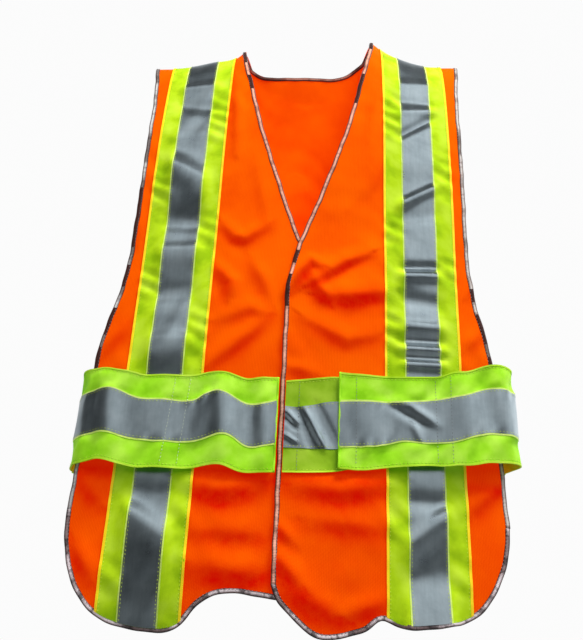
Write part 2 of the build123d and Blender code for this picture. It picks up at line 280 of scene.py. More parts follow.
# height of the crest, height of the fold, its width above and below, lean
RIGHT_TAPE_FOLDS = [
    (-112, 2.6, 9, 9, 0.10), (-150, -1.6, 12, 12, -0.2), (-196, 1.0, 16, 16, 0.0),
    (-264, 6.2, 22, 34, -0.60), (-332, -3.0, 16, 16, 0.0), (-350, 1.2, 10, 10, 0.0),
    (-374, 5.2, 15, 28, 0.08), (-430, -2.6, 14, 14, 0.1), (-456, 0.8, 16, 16, 0.0),
    (-494, 4.6, 14, 32, 0.03), (-668, -1.2, 12, 12, 0.0), (-700, 5.4, 16, 48, -0.6)]
LEFT_TAPE_FOLDS = [
    (-96, 2.4, 10, 10, 0.1), (-130, -1.8, 9, 9, 0.0), (-148, 1.6, 7, 7, 0.2), (-172, -3.4, 8, 8, 0.75),
    (-235, 1.0, 18, 18, 0.1), (-283, 3.8, 8, 8, 0.6), (-312, -1.6, 11, 11, 0.2), (-384, -2.6, 6, 6, 0.1),
    (-396, 3.2, 7, 7, 0.05), (-430, -2.8, 12, 12, -0.1), (-462, 2.4, 7, 7, 0.0), (-478, -2.8, 6, 6, 0.0),
    (-490, 2.6, 5, 5, 0.0), (-500, -2.0, 5, 5, 0.0), (-508, 2.6, 6, 6, 0.0), (-664, -2.0, 10, 10, 0.0),
    (-690, 3.4, 10, 22, 0.8), (-738, -2.2, 18, 18, 0.2), (-803, 10.0, 42, 42, 0.0)]
BACK_TAPE_FOLDS = [
    (-110, 2.4, 10, 10, 0.1), (-175, -2.2, 10, 10, 0.6), (-250, 3.6, 12, 24, -0.7),
    (-330, 2.2, 10, 10, 0.2), (-400, -2.2, 9, 9, 0.0), (-470, 3.4, 9, 16, 0.1), (-672, 2.6, 12, 12, 0.7),
    (-735, 2.2, 14, 14, -0.3)]


def tape_folds(x, z, side, folds):
    """The folds that the silver makes across a vertical tape, and the puckers beside it."""
    middle = side * TAPE_X
    across = sum(ridge(x, z, *fold, middle) for fold in folds)
    return 1.25 * smoothstep(34.0, 20.0, np.abs(x - middle)) * across + wing_wrinkles(x, z, side)


def hem_curl(z, reach, amount):
    """The tails turn back towards the legs near the hem."""
    t = np.clip((reach + HEM_LOW - z) / reach, 0, 1)
    return -amount * t * t


def waist_pull(z):
    """The belt draws the cloth in a little."""
    return -1.5 * bell((z - BELT_MIDDLE) / 75.0)


def beside(x, z, points):
    """Distance from a path, positive on its left, and a strength along it that fades towards its ends."""
    path = np.array(points, float)
    steps = np.diff(path, axis=0)
    starts = run_along(path)
    near = np.full(np.shape(x), 1e9)
    signed = np.zeros(np.shape(x))
    reached = np.zeros(np.shape(x))
    for a, step, length, start in zip(path[:-1], steps, np.diff(starts), starts):
        dx = x - a[0]
        dz = z - a[1]
        t = np.clip((dx * step[0] + dz * step[1]) / length ** 2, 0, 1)
        apart = np.hypot(dx - t * step[0], dz - t * step[1])
        closer = apart < near
        left = np.sign(step[0] * dz - step[1] * dx)
        signed = np.where(closer, apart * left, signed)
        reached = np.where(closer, start + t * length, reached)
        near = np.where(closer, apart, near)
    share = 0.08 + 0.84 * reached / starts[-1]
    return signed, 0.25 + 0.75 * np.sin(math.pi * np.clip(share, 0, 1))


def pleat(x, z, points, height, steep, gentle):
    """Fold with its crest along a path: gentle on the left of the path, steep on the right."""
    signed, fade = beside(x, z, points)
    return height * fade * bell(signed / np.where(signed > 0, gentle, steep))


def painted_fold_shade(x, z, pleats):
    """Painted shade for the orange: how deep red it turns in the steep, shaded sides of folds, in the belt's
    painted shadow and a little towards the tails.
    """
    # painted shade, darker towards the tails, and a painted shadow just below the belt
    total = 0.22 * smoothstep(-640.0, -700.0, z) + 0.6 * bell((z + 644.0) / 8.0)
    for points, height, steep, _ in pleats:
        signed, fade = beside(x, z, points)
        reach = 0.9 * steep + 1.5
        total = total + height / 6.2 * fade * bell((signed + reach) / (reach + 1.0))
    return np.clip(total, 0, 1)


# path of the crest in X and height, height of the fold, width of its steep side, width of its gentle side
LEFT_PLEATS = [
    ([(-11, -422), (1, -398), (14, -381), (27, -388)], 6.2, 5, 9),
    ([(13, -413), (36, -396), (55, -381), (82, -368)], 6.4, 5, 15),
    ([(19, -408), (28, -422), (38, -437)], 4.6, 5, 8), ([(30, -426), (61, -427), (104, -418)], 7.6, 9, 20),
    ([(10, -456), (39, -473), (58, -483), (90, -474)], 4.2, 7, 18), ([(-8, -518), (20, -525)], 3.6, 6, 9),
    ([(6, -650), (53, -655), (105, -645)], 6.6, 10, 14), ([(-12, -692), (6, -710)], 4.0, 5, 8),
    ([(24, -686), (99, -690)], 3.8, 9, 18), ([(-12, -722), (16, -750)], 5.6, 7, 11),
    ([(8, -756), (52, -776)], 5.8, 10, 14), ([(62, -776), (99, -762)], 4.4, 8, 11),
    ([(188, -670), (221, -640)], 4.4, 7, 11), ([(200, -416), (222, -389)], 2.8, 6, 10),
    ([(194, -484), (213, -461)], 2.6, 6, 10), ([(60, -300), (88, -262), (98, -230)], 1.8, 8, 14),
    ([(96, -120), (84, -200)], 1.6, 7, 12)]
RIGHT_PLEATS = [
    ([(-95, -332), (-79, -350), (-67, -353), (-43, -334)], 4.6, 6, 12),
    ([(-97, -394), (-78, -415), (-80, -436)], 4.8, 6, 10),
    ([(-55, -383), (-40, -410), (-28, -436)], 3.2, 7, 10),
    ([(-98, -518), (-72, -495), (-51, -475), (-38, -459)], 4.4, 6, 13),
    ([(-97, -98), (-90, -161), (-86, -228)], 3.0, 6, 9),
    ([(-90, -462), (-56, -446), (-34, -450)], 3.4, 7, 14),
    ([(-108, -650), (-72, -659), (-34, -649)], 7.2, 11, 16), ([(-102, -700), (-14, -700)], 3.8, 9, 20),
    ([(-92, -734), (-45, -740), (-10, -733)], 6.2, 11, 18), ([(-220, -648), (-196, -676)], 4.6, 7, 10),
    ([(-217, -718), (-195, -752)], 4.0, 7, 11), ([(-208, -300), (-198, -360)], 2.0, 6, 10),
    ([(-224, -512), (-200, -474)], 3.0, 6, 9), ([(-60, -240), (-48, -290), (-38, -330)], 1.6, 7, 14)]
BACK_PLEATS = [
    ([(-92, -140), (-60, -170), (-18, -186)], 2.6, 9, 22),
    ([(18, -214), (62, -198), (97, -168)], 2.6, 9, 20),
    ([(-99, -330), (-50, -318), (-4, -326)], 2.8, 9, 22),
    ([(28, -372), (68, -386), (102, -382)], 3.0, 9, 20),
    ([(-98, -460), (-54, -480), (-8, -486)], 3.0, 8, 16),
    ([(14, -500), (58, -492), (98, -474)], 3.2, 8, 16),
    ([(-97, -652), (-40, -662), (22, -660)], 4.0, 9, 16),
    ([(8, -708), (58, -704), (99, -690)], 3.0, 8, 16), ([(-30, -64), (0, -70), (34, -66)], 1.6, 8, 16)]


def pleated(x, z, pleats):
    return sum(pleat(x, z, *one) for one in pleats)


def left_folds(x, z):
    """Folds of the wearer's left front."""
    total = ripple(x, z) + tape_folds(x, z, LEFT, LEFT_TAPE_FOLDS) + hem_curl(z, 70.0, 3.0) + waist_pull(z)
    return total + pleated(x, z, LEFT_PLEATS)


def right_folds(x, z):
    """Folds of the wearer's right front."""
    total = ripple(x + 190.0, z + 30.0) + tape_folds(x, z, RIGHT, RIGHT_TAPE_FOLDS)
    return total + hem_curl(z, 70.0, 9.0) + waist_pull(z) + pleated(x, z, RIGHT_PLEATS)


def over_under(x, z):
    """The under front follows the over front where they lie together."""
    share = smoothstep(-45.0, -12.0, x)
    return right_folds(x, z) * (1 - share) + left_folds(x, z) * share


def back_folds(x, z):
    """Folds of the back, where the right tape's are the left one's, moved down and leaning the other way."""
    total = ripple(x + 77.0, z + 140.0) * 1.1 + hem_curl(z, 60.0, 6.0) + waist_pull(z)
    right_tape = [(crest - 24, *shape, -lean) for crest, *shape, lean in BACK_TAPE_FOLDS]
    total = total + tape_folds(x, z, LEFT, BACK_TAPE_FOLDS) + tape_folds(x, z, RIGHT, right_tape)
    return total + pleated(x, z, BACK_PLEATS)


# ================= mesh builders =================

def grid_normals(p):
    """Unit normals of a grid of points."""
    return unit(np.cross(np.gradient(p, axis=0), np.gradient(p, axis=1)))


def make_object(name, verts, faces, uv, material, rims=()):
    """Smooth mesh object from millimetres. Each of rims marks vertices, and edges between those are sharp."""
    mesh = bpy.data.meshes.new(name)
    mesh.from_pydata((np.asarray(verts) * MM).tolist(), [], faces)
    layer = mesh.uv_layers.new(name="flat")
    loops = np.zeros(len(mesh.loops), np.int32)
    mesh.loops.foreach_get("vertex_index", loops)
    layer.data.foreach_set("uv", (np.asarray(uv, float)[loops] * MM).ravel())
    mesh.polygons.foreach_set("use_smooth", [True] * len(mesh.polygons))
    if len(rims):
        ends = np.zeros(len(mesh.edges) * 2, np.int32)
        mesh.edges.foreach_get("vertices", ends)
        sharp = np.any([rim[ends[0::2]] & rim[ends[1::2]] for rim in rims], axis=0)
        mesh.attributes.new("sharp_edge", "BOOLEAN", "EDGE").data.foreach_set("value", sharp)
    mesh.materials.append(material)
    mesh.validate()
    obj = bpy.data.objects.new(name, mesh)
    bpy.context.scene.collection.objects.link(obj)
    return obj


def shell(name, p, uv, half, material, outward):
    """Closed sheet of the given half thickness on a grid of points; outward is a rough outside direction."""
    rows, cols = p.shape[:2]
    n = grid_normals(p)
    flip = np.sign(np.sum(n * outward, axis=-1).mean())
    n = n * flip
    top = (p + n * half).reshape(-1, 3)
    low = (p - n * half).reshape(-1, 3)
    count = rows * cols
    index = np.arange(count).reshape(rows, cols)
    quads = np.stack([index[:-1, :-1], index[1:, :-1], index[1:, 1:], index[:-1, 1:]], axis=-1).reshape(-1, 4)
    rim = np.concatenate([index[0, :], index[1:, -1], index[-1, -2::-1], index[-2:0:-1, 0]])
    nxt = np.roll(rim, -1)
    side = np.stack([rim, nxt, nxt + count, rim + count], axis=-1)
    faces = np.concatenate([quads, quads[:, ::-1] + count, side])
    if flip < 0:
        faces = faces[:, ::-1]
    rims = np.zeros((2, 2 * count), bool)
    rims[0, rim] = True
    rims[1, rim + count] = True
    flat = np.tile(uv.reshape(-1, 2), (2, 1))
    return make_object(name, np.concatenate([top, low]), faces.tolist(), flat, material, rims)


def coons(top, bottom, first, last):
    """Grid of flat points inside four edges: top and bottom run across, first and last run down."""
    rows = len(first)
    cols = len(top)
    u = np.linspace(0, 1, cols)[None, :, None]
    v = np.linspace(0, 1, rows)[:, None, None]
    across = (1 - v) * top[None] + v * bottom[None]
    down = (1 - u) * first[:, None] + u * last[:, None]
    corners = (1 - v) * ((1 - u) * top[0] + u * top[-1]) + v * ((1 - u) * bottom[0] + u * bottom[-1])
    return across + down - corners


def to_run(path):
    """Change points of X and height into X and distance below the shoulder line."""
    return np.stack([path[:, 0], run_of(path[:, 0], path[:, 1])], axis=1)


# ================= materials =================

def grey(level):
    return (level, level, level)


WHITE = grey(1.0)


class Nodes:
    """Small helper that adds nodes to one node tree. An input may be a number, a colour or another output."""

    def __init__(self, tree):
        self.nodes = tree.nodes
        self.links = tree.links

    def feed(self, socket, value):
        if isinstance(value, (int, float)):
            socket.default_value = value
        elif isinstance(value, tuple):
            socket.default_value = (*value, 1.0)
        else:
            self.links.new(value, socket)

    def add(self, kind, **values):
        """New node; each value is one of its properties or, if it has none of that name, an input."""
        node = self.nodes.new(kind)
        for key, value in values.items():
            if hasattr(node, key):
                setattr(node, key, value)
            else:
                node.inputs[key].default_value = value
        return node

    def split(self, vector):
        node = self.add("ShaderNodeSeparateXYZ")
        self.feed(node.inputs["Vector"], vector)
        return node.outputs

    def ramp(self, fac, stops):
        node = self.add("ShaderNodeValToRGB")
        elements = node.color_ramp.elements
        while len(elements) < len(stops):
            elements.new(0.5)
        for element, (position, colour) in zip(elements, stops):
            element.position = position
            element.color = (*colour, 1.0)
        self.feed(node.inputs["Fac"], fac)
        return node.outputs["Color"]

    def math(self, operation, *values):
        node = self.add("ShaderNodeMath", operation=operation)
        for socket, value in zip(node.inputs, values):
            self.feed(socket, value)
        return node.outputs[0]

    def mix(self, kind, fac, a, b):
        node = self.add("ShaderNodeMix", data_type="RGBA", blend_type=kind)
        self.feed(node.inputs["Factor"], fac)
        self.feed(node.inputs[6], a)
        self.feed(node.inputs[7], b)
        return node.outputs[2]


class Maker(Nodes):
    """Makes one material. Its patterns follow the flat shape that each piece was cut to, in metres."""

    def __init__(self, name):
        self.mat = bpy.data.materials.new(name)
        self.mat.use_nodes = True
        super().__init__(self.mat.node_tree)
        self.bsdf = self.nodes["Principled BSDF"]

    def flat(self):
        return self.add("ShaderNodeUVMap", uv_map="flat").outputs["UV"]

    def noise(self, vector, scale, detail=3.0, roughness=0.55):
        node = self.add("ShaderNodeTexNoise", Scale=scale, Detail=detail, Roughness=roughness)
        self.feed(node.inputs["Vector"], vector)
        return node.outputs["Fac"]

    def wave(self, vector, pitch, direction, distortion):
        node = self.add("ShaderNodeTexWave", Scale=2 * math.pi / (20 * pitch), Distortion=distortion)
        node.bands_direction = direction
        self.feed(node.inputs["Vector"], vector)
        return node.outputs["Fac"]

    def bump(self, height, strength, distance):
        node = self.add("ShaderNodeBump", Strength=strength, Distance=distance)
        self.feed(node.inputs["Height"], height)
        self.feed(self.bsdf.inputs["Normal"], node.outputs["Normal"])

    def finish(self, colour, roughness, glow=0.0, glow_colour=None, sheen=0.0, metallic=0.0, shine=0.5):
        values = {"Base Color": colour, "Roughness": roughness, "Metallic": metallic, "Sheen Weight": sheen,
                  "Specular IOR Level": shine}
        if glow_colour:
            values["Sheen Tint"] = glow_colour
        # glow is emission: a painted glow on the cloths, and an even brightness on the floor
        if glow:
            values["Emission Color"] = glow_colour
            values["Emission Strength"] = glow
        for key, value in values.items():
            self.feed(self.bsdf.inputs[key], value)
        return self.mat


def knit_material():
    """Fluorescent orange tricot: fine upright wales with small gaps between the courses."""
    m = Maker("orange_knit")
    uv = m.flat()
    loops = m.math("MULTIPLY", m.wave(uv, 0.0017, "X", 0.6), m.wave(uv, 0.0013, "Y", 0.4))
    patches = m.noise(uv, 14.0, 4.0)
    tone = m.ramp(patches, [(0.30, (0.50, 0.086, 0.0)), (0.52, (0.56, 0.114, 0.0)),
                            (0.75, (0.61, 0.138, 0.0))])
    holes = m.ramp(loops, [(0.0, (0.80, 0.74, 0.72)), (0.35, WHITE)])
    # the "crease" attribute is painted shade: it turns the orange deep red in the shaded sides of folds, in
    # the belt's painted shadow and towards the tails
    painted_shade = m.add("ShaderNodeAttribute", attribute_name="crease").outputs["Fac"]
    uneven = m.ramp(m.noise(uv, 60.0, 3.0, 0.6), [(0.30, grey(0.62)), (0.62, WHITE)])
    tone = m.mix("MIX", m.math("MULTIPLY", painted_shade, uneven), tone, (0.36, 0.010, 0.0))
    fuzz = m.noise(uv, 900.0, 2.0)
    m.bump(m.math("ADD", loops, m.math("MULTIPLY", fuzz, 0.35)), 0.35, 0.0006)
    # the red emission is a painted glow: it keeps the orange's shade red rather than brown
    return m.finish(m.mix("MULTIPLY", 0.55, tone, holes), 0.62, 0.46, (1.0, 0.0, 0.0), sheen=0.04, shine=0.02)


def lime_material(name, dark, mid, light, glow):
    """Fluorescent woven tape ground."""
    m = Maker(name)
    uv = m.flat()
    weave = m.math("MULTIPLY", m.wave(uv, 0.0010, "X", 0.3), m.wave(uv, 0.0008, "Y", 0.3))
    tone = m.ramp(m.noise(uv, 30.0, 3.0, 0.5), [(0.34, dark), (0.50, mid), (0.66, light)])
    threads = m.ramp(weave, [(0.0, (0.82, 0.85, 0.78)), (0.5, WHITE)])
    m.bump(weave, 0.3, 0.0005)
    colour = m.mix("MULTIPLY", 0.5, tone, threads)
    # the green emission is a painted glow, which keeps the lime green in its shade
    return m.finish(colour, 0.55, glow, (0.10, 0.60, 0.0), sheen=0.06, shine=0.06)


def silver_material():
    """Glass-bead tape: satin metal with fine streaks and soft handling marks."""
    m = Maker("silver_bead")
    uv = m.flat()
    threads = m.wave(uv, 0.0011, "Y", 0.5)
    marks = m.noise(uv, 38.0, 5.0, 0.62)
    streaks = m.add("ShaderNodeMapping", Scale=(260.0, 26.0, 1.0))
    m.feed(streaks.inputs["Vector"], uv)
    combed = m.noise(streaks.outputs["Vector"], 1.0)
    tone = m.ramp(marks, [(0.30, (0.34, 0.39, 0.42)), (0.50, (0.42, 0.48, 0.51)), (0.72, (0.50, 0.56, 0.59))])
    colour = m.mix("MULTIPLY", 0.35, tone, m.ramp(combed, [(0.25, (0.62, 0.62, 0.64)), (0.7, WHITE)]))
    rough = m.ramp(marks, [(0.3, grey(0.27)), (0.7, grey(0.33))])
    m.bump(m.math("ADD", m.math("MULTIPLY", threads, 0.35), m.math("MULTIPLY", combed, 0.8)), 0.10, 0.0004)
    return m.finish(colour, rough, metallic=0.94)


def binding_material(name, crown, shoulder, dark_share, pucker_shade, turned=()):
    """Satin binding in its own colour, with a painted highlight along its crown, painted shade along both
    edges and painted shade where it has turned over.
    turned lists the stretches of its length, in metres, that have turned over."""
    m = Maker(name)
    uv = m.flat()
    parts = m.split(uv)
    across = m.math("ABSOLUTE", m.math("MULTIPLY", parts["Y"], 1000.0))
    # across the binding: its own colour, lightened along the crown as a painted highlight and darkened to
    # near black at both edges as painted shade
    pale = m.ramp(across, [(0.0, crown), (0.44, shoulder), (0.70, (0.13, 0.06, 0.04)),
                           (1.0, (0.03, 0.02, 0.02))])
    # puckers darkened by noise: painted shade
    shade = m.ramp(m.noise(uv, 70.0, 3.0, 0.6), [(0.42, pucker_shade), (0.50, WHITE)])
    # dark patches at random along the binding
    dark_patches = m.ramp(m.noise(uv, 14.0, 2.0), [(dark_share, (0.22, 0.16, 0.15)), (dark_share + 0.06, WHITE)])
    colour = m.mix("MULTIPLY", 0.9, m.mix("MULTIPLY", 0.8, pale, shade), dark_patches)
    # painted shade over the stretches where the binding has turned over
    for start, end in turned:
        here = m.math("COMPARE", parts["X"], (start + end) / 2, (end - start) / 2)
        colour = m.mix("MIX", here, colour, (0.055, 0.012, 0.008))
    m.bump(m.wave(uv, 0.0016, "X", 2.0), 0.35, 0.0006)
    return m.finish(colour, 0.36, metallic=0.15)


def plain_cloth(name, dark, light, scale=300.0, roughness=0.5, nap_scale=2500.0, glow=0.0):
    """Thread, or cloth of one colour, with uneven tone and a nap; its glow is emission in the light colour, a
    painted glow.
    """
    m = Maker(name)
    uv = m.flat()
    tone = m.ramp(m.noise(uv, scale), [(0.3, dark), (0.7, light)])
    m.bump(m.noise(uv, nap_scale, 2.0), 0.5, 0.0008)
    return m.finish(tone, roughness, glow, light)


ORANGE = knit_material()
LIME = lime_material("lime_tape", (0.33, 0.50, 0.006), (0.49, 0.67, 0.012), (0.58, 0.75, 0.040), 0.10)
BELT_LIME = lime_material("belt_lime", (0.26, 0.60, 0.010), (0.38, 0.75, 0.026), (0.50, 0.84, 0.070), 0.10)
# the front bands' lime is a darker copy of the belt's: painted shade for the bands under the tabs
SHADED_BAND_LIME = lime_material("band_lime", (0.20, 0.36, 0.010), (0.29, 0.47, 0.020), (0.38, 0.56, 0.040), 0.05)
BELT_EDGE = lime_material("belt_edge", (0.40, 0.66, 0.02), (0.52, 0.78, 0.04), (0.62, 0.84, 0.08), 0.06)
SILVER = silver_material()
# painted shade in the bindings' puckers: soft, and deep for the hem
SOFT_PUCKER_SHADE = (0.55, 0.46, 0.44)
DEEP_PUCKER_SHADE = (0.06, 0.04, 0.04)
# crown and shoulder colours: the bindings' own warm colour, lightened along the crown as a painted highlight
WARM_CROWN = (1.0, 0.52, 0.38)
WARM_SHOULDER = (0.82, 0.36, 0.25)
# the listed stretches of a binding, in metres, are painted dark as shade where it has turned over
NECK_BINDING = binding_material("neck_binding", (0.62, 0.30, 0.22), (0.30, 0.11, 0.08), 0.44, SOFT_PUCKER_SHADE)
UNDER_BINDING = binding_material("under_binding", WARM_CROWN, WARM_SHOULDER, 0.33, SOFT_PUCKER_SHADE,
                                 ((0.0, 0.055), (0.084, 0.112)))
OVER_BINDING = binding_material("over_binding", WARM_CROWN, WARM_SHOULDER, 0.30, SOFT_PUCKER_SHADE,
                                ((0.0, 0.048), (0.106, 0.164), (0.402, 0.421), (0.438, 0.480)))
SIDE_BINDING = binding_material("side_binding", (0.80, 0.79, 0.78), (0.50, 0.47, 0.46), 0.46, SOFT_PUCKER_SHADE,
                                ((0.232, 0.318), (0.342, 0.372), (0.400, 0.436), (0.452, 0.490)))
OUTER_BINDING = binding_material("outer_binding", (0.80, 0.74, 0.70), (0.50, 0.42, 0.38), 0.42, SOFT_PUCKER_SHADE,
                                 ((0.385, 0.402), (0.418, 0.456), (0.472, 0.500)))
HEM_BINDING = binding_material("hem_binding", (1.0, 0.88, 0.90), (0.70, 0.55, 0.57), 0.46, DEEP_PUCKER_SHADE)
SELVEDGE = plain_cloth("yellow_selvedge", (0.88, 0.55, 0.004), (1.0, 0.76, 0.010), 90.0, 0.5, 900.0, 0.12)
PALE_EDGE = plain_cloth("pale_edge", (0.50, 0.70, 0.09), (0.72, 0.85, 0.22), 120.0, 0.5, 900.0, 0.05)
HOOK = plain_cloth("hook_nylon", (0.34, 0.48, 0.03), (0.50, 0.62, 0.08), 300.0, 0.45, 1400.0)
LOOP = plain_cloth("loop_nylon", (0.42, 0.55, 0.06), (0.58, 0.70, 0.12), 200.0, 0.85, 1000.0)
LIME_THREAD = plain_cloth("lime_thread", (0.45, 0.60, 0.02), (0.72, 0.85, 0.10))
GREY_THREAD = plain_cloth("grey_thread", (0.13, 0.14, 0.15), (0.32, 0.33, 0.34))
PALE_THREAD = plain_cloth("pale_thread", (0.50, 0.56, 0.42), (0.72, 0.78, 0.60))


# ================= placing pieces on bodies =================

SIDES = ((LEFT, "left"), (RIGHT, "right"))


def settle(obj, body, slot, nodes=()):
    """Attach a piece to its body, or bake a front's place into its mesh, and hide the CAD nodes it stands
    for; slot is not used.
    """
    if body.endswith("_front"):
        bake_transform(obj)
    else:
        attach(obj, body)
    if nodes:
        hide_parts(*nodes)


class Panel:
    """The cloth of one body, and what is needed to put other pieces on it. Grids and lines on a panel hold X
    and the distance below the shoulder line, and offsets are outwards from the middle of the cloth."""

    def __init__(self, body, face, folds, pleats):
        self.body = body
        self.face = face
        self.front = body != "back"
        self.folds = folds
        self.pleats = pleats
        self.outward = np.array([0.0, -1.0 if self.front else 1.0, 0.15])

    def at(self, grid, offset, extra=None):
        """Points of a grid, with extra folds where something else wrinkles the cloth."""
        folds = self.folds if extra is None else (lambda x, z: self.folds(x, z) + extra(x, z))
        return place(grid[..., 0], grid[..., 1], self.face, self.front, offset, folds)

    def strip(self, name, grid, offset, half, material, extra=None):
        """Cloth of the given half thickness on a grid, and its flat coordinates."""
        uv = np.stack([grid[..., 0], -grid[..., 1]], axis=-1)
        p = self.at(grid, offset, extra)
        return shell(self.body + "_" + name, p, uv, half, material, self.outward), uv

    def sheet(self, name, grid, material, slot, nodes, offset=0.0, half=CLOTH_HALF, extra=None):
        """A cut piece of cloth, which stands for CAD nodes."""
        obj, uv = self.strip(name, grid, offset, half, material, extra)
        if material is ORANGE:
            # the orange gets the "crease" attribute: painted shade in its folds, the belt's painted shadow
            # and darker tails
            x = grid[..., 0]
            z = height_of(x, grid[..., 1])
            painted_shade = painted_fold_shade(x, z + settle_of(x, z), self.pleats).ravel()
            attribute = obj.data.attributes.new("crease", "FLOAT", "POINT")
            attribute.data.foreach_set("value", np.concatenate([painted_shade, painted_shade]))
        settle(obj, self.body, slot, nodes)

    def edge(self, name, grid, offset, half, material, extra=None):
        """Selvedge of a tape."""
        obj, _ = self.strip(name, grid, offset, half, material, extra)
        settle(obj, self.body, "lime_tape")

    def seam(self, name, lines, material, extra=None):
        """Rows of stitches; each is a line on the panel and its offset."""
        rows = []
        for line, offset in lines:
            p = self.at(line, offset, extra)
            rows.append((p, self.at(line, offset + 1.0, extra) - p))
        settle(stitches(self.body + "_" + name, rows, material), self.body, "lime_tape")

    def line(self, path, offset):
        """Points and outward normals along a path of X and height."""
        run = to_run(path)
        p = self.at(run, offset)
        return p, unit(self.at(run, offset + 1.0) - p)


TUBE_SIDES = 12


def tube(name, p, n, half_width, half_height, material, wobble=0.3):
    """Flattened tube along a path, for bindings and rolled edges."""
    s = unit(np.cross(unit(np.gradient(p, axis=0)), n))
    run = run_along(p)
    sway = wobble * (np.sin(run / 9.0) + 0.6 * np.sin(run / 4.1 + 1.0))
    swell = 1.0 + 0.10 * np.sin(run / 3.3 + np.sin(run / 11.0)) + 0.08 * np.sin(run / 21.0)
    rings = []
    uvs = []
    for angle in np.linspace(0, 2 * math.pi, TUBE_SIDES, endpoint=False):
        across = math.copysign(abs(math.cos(angle)) ** 0.8, math.cos(angle))
        up = math.copysign(abs(math.sin(angle)) ** 0.9, math.sin(angle))
        rings.append(p + s * (half_width * across + sway)[:, None] + n * (half_height * up * swell)[:, None])
        uvs.append(np.stack([run, np.full(len(run), across)], axis=1))
    index = np.arange(len(p) * TUBE_SIDES).reshape(len(p), TUBE_SIDES)
    nxt = np.roll(index, -1, axis=1)
    quads = np.stack([index[:-1], nxt[:-1], nxt[1:], index[1:]], axis=-1).reshape(-1, 4).tolist()
    caps = [index[0, ::-1].tolist(), index[-1].tolist()]
    verts = np.stack(rings, axis=1).reshape(-1, 3)
    return make_object(name, verts, quads + caps, np.stack(uvs, axis=1).reshape(-1, 2), material)


STITCH_LENGTH = 2.6
STITCH_PITCH = 3.9
STITCH_HALF_WIDTH = 0.38
STITCH_HALF_HEIGHT = 0.30


def stitches(name, lines, material):
    """Rows of thread stitches, pointed at both ends; lines is a list of (points, normals)."""
    verts = []
    faces = []
    uvs = []
    for p, n in lines:
        run = run_along(p)
        for start in np.arange(STITCH_PITCH * 0.4, run[-1] - STITCH_LENGTH, STITCH_PITCH):
            a = along(p, run, start)
            mid = along(p, run, start + STITCH_LENGTH / 2)
            b = along(p, run, start + STITCH_LENGTH)
            up = along(n, run, start)
            side = unit(np.cross(b - a, up)) * STITCH_HALF_WIDTH
            rise = up * STITCH_HALF_HEIGHT
            base = len(verts)
            verts += [a, b, mid + side, mid + rise, mid - side, mid - rise]
            uvs += [(start, 0.0), (start + STITCH_LENGTH, 0.0)]
            uvs += [(start + STITCH_LENGTH / 2, k * 0.3) for k in range(4)]
            for k in range(4):
                corner = base + 2 + k
                following = base + 2 + (k + 1) % 4
                faces += [(base, corner, following), (base + 1, following, corner)]
    return make_object(name, verts, faces, np.array(uvs), material)


# ================= panels =================

LEFT_PANEL = Panel("left_front", OVER_FACE, left_folds, LEFT_PLEATS)
RIGHT_PANEL = Panel("right_front", UNDER_FACE, over_under, RIGHT_PLEATS)
BACK_PANEL = Panel("back", BACK_FACE, back_folds, BACK_PLEATS)
NECK_TOP = shoulder_top(NECK_X)
TIP_TOP = shoulder_top(TIP[0])


def side_line(side, count):
    """Outer edge from the tip of the shoulder to the hem, as X and height."""
    path = spline(mirrored(ARMHOLE, side), count)
    path[0] = (side * TIP[0], TIP_TOP)
    return path


def back_neck(count):
    """Neckline of the back, as X and height."""
    middle = spline(both_sides(NECK_BACK[1:]), count)
    return np.concatenate([[(NECK_X, NECK_TOP)], middle, [(-NECK_X, NECK_TOP)]])


def front_edges(side):
    """Neck line, centre corners, and the hem in two parts, by the side and the rest, as X and height."""
    neck = spline(mirrored(NECK_FRONT, side) + [OVER_V_POINT if side == LEFT else UNDER_V_POINT], 260)
    hem = LEFT_HEM if side == LEFT else RIGHT_HEM
    centre = np.array([neck[-1], OVER_CORNER if side == LEFT else UNDER_CORNER, hem[-1]], float)
    neck[0] = (side * NECK_X, NECK_TOP)
    path = spline(hem, 600)
    cut = int(np.argmax(np.abs(path[:, 0]) < HEM_TURN_X))
    return neck, centre, path[:cut + 1], path[cut:]


def front_panel(panel, side):
    """One front, between its shoulder line, hem, inner edge and outer edge."""
    neck, centre, near_side, hem = front_edges(side)
    inner = np.concatenate([neck[:-1], even(centre[:2], 20)[:-1], even(centre[1:], 260)])
    outer = np.concatenate([side_line(side, 400)[:-1], near_side])
    shoulder = even(np.array([inner[0], outer[0]]), 60)
    rows, cols = 320, 92
    grid = coons(even(to_run(shoulder), cols), even(to_run(hem[::-1]), cols), even(to_run(inner), rows),
                 even(to_run(outer), rows))
    panel.sheet("cloth", grid, ORANGE, "orange_mesh", [panel.body + "_panel"])


def back_panel():
    """The back, between its neckline and shoulders, hem and two outer edges."""
    neck = back_neck(120)
    to_neck = even(np.array([(TIP[0], TIP_TOP), neck[0]]), 60)
    from_neck = even(np.array([neck[-1], (-TIP[0], TIP_TOP)]), 60)
    top = np.concatenate([to_neck[:-1], neck, from_neck[1:]])[::-1]
    hem = spline(both_sides(BACK_HEM), 1200)
    inside = np.flatnonzero(np.abs(hem[:, 0]) < HEM_TURN_X)
    first = inside[0]
    last = inside[-1] + 1
    left_edge = np.concatenate([side_line(LEFT, 400)[:-1], hem[:first + 1]])
    right_edge = np.concatenate([side_line(RIGHT, 400)[:-1], hem[last - 1:][::-1]])
    rows, cols = 260, 150
    grid = coons(even(to_run(top), cols), even(to_run(hem[first:last][::-1]), cols),
                 even(to_run(right_edge), rows), even(to_run(left_edge), rows))
    BACK_PANEL.sheet("cloth", grid, ORANGE, "orange_mesh", ["back_panel"])


front_panel(LEFT_PANEL, LEFT)
front_panel(RIGHT_PANEL, RIGHT)
back_panel()


# ================= bindings =================

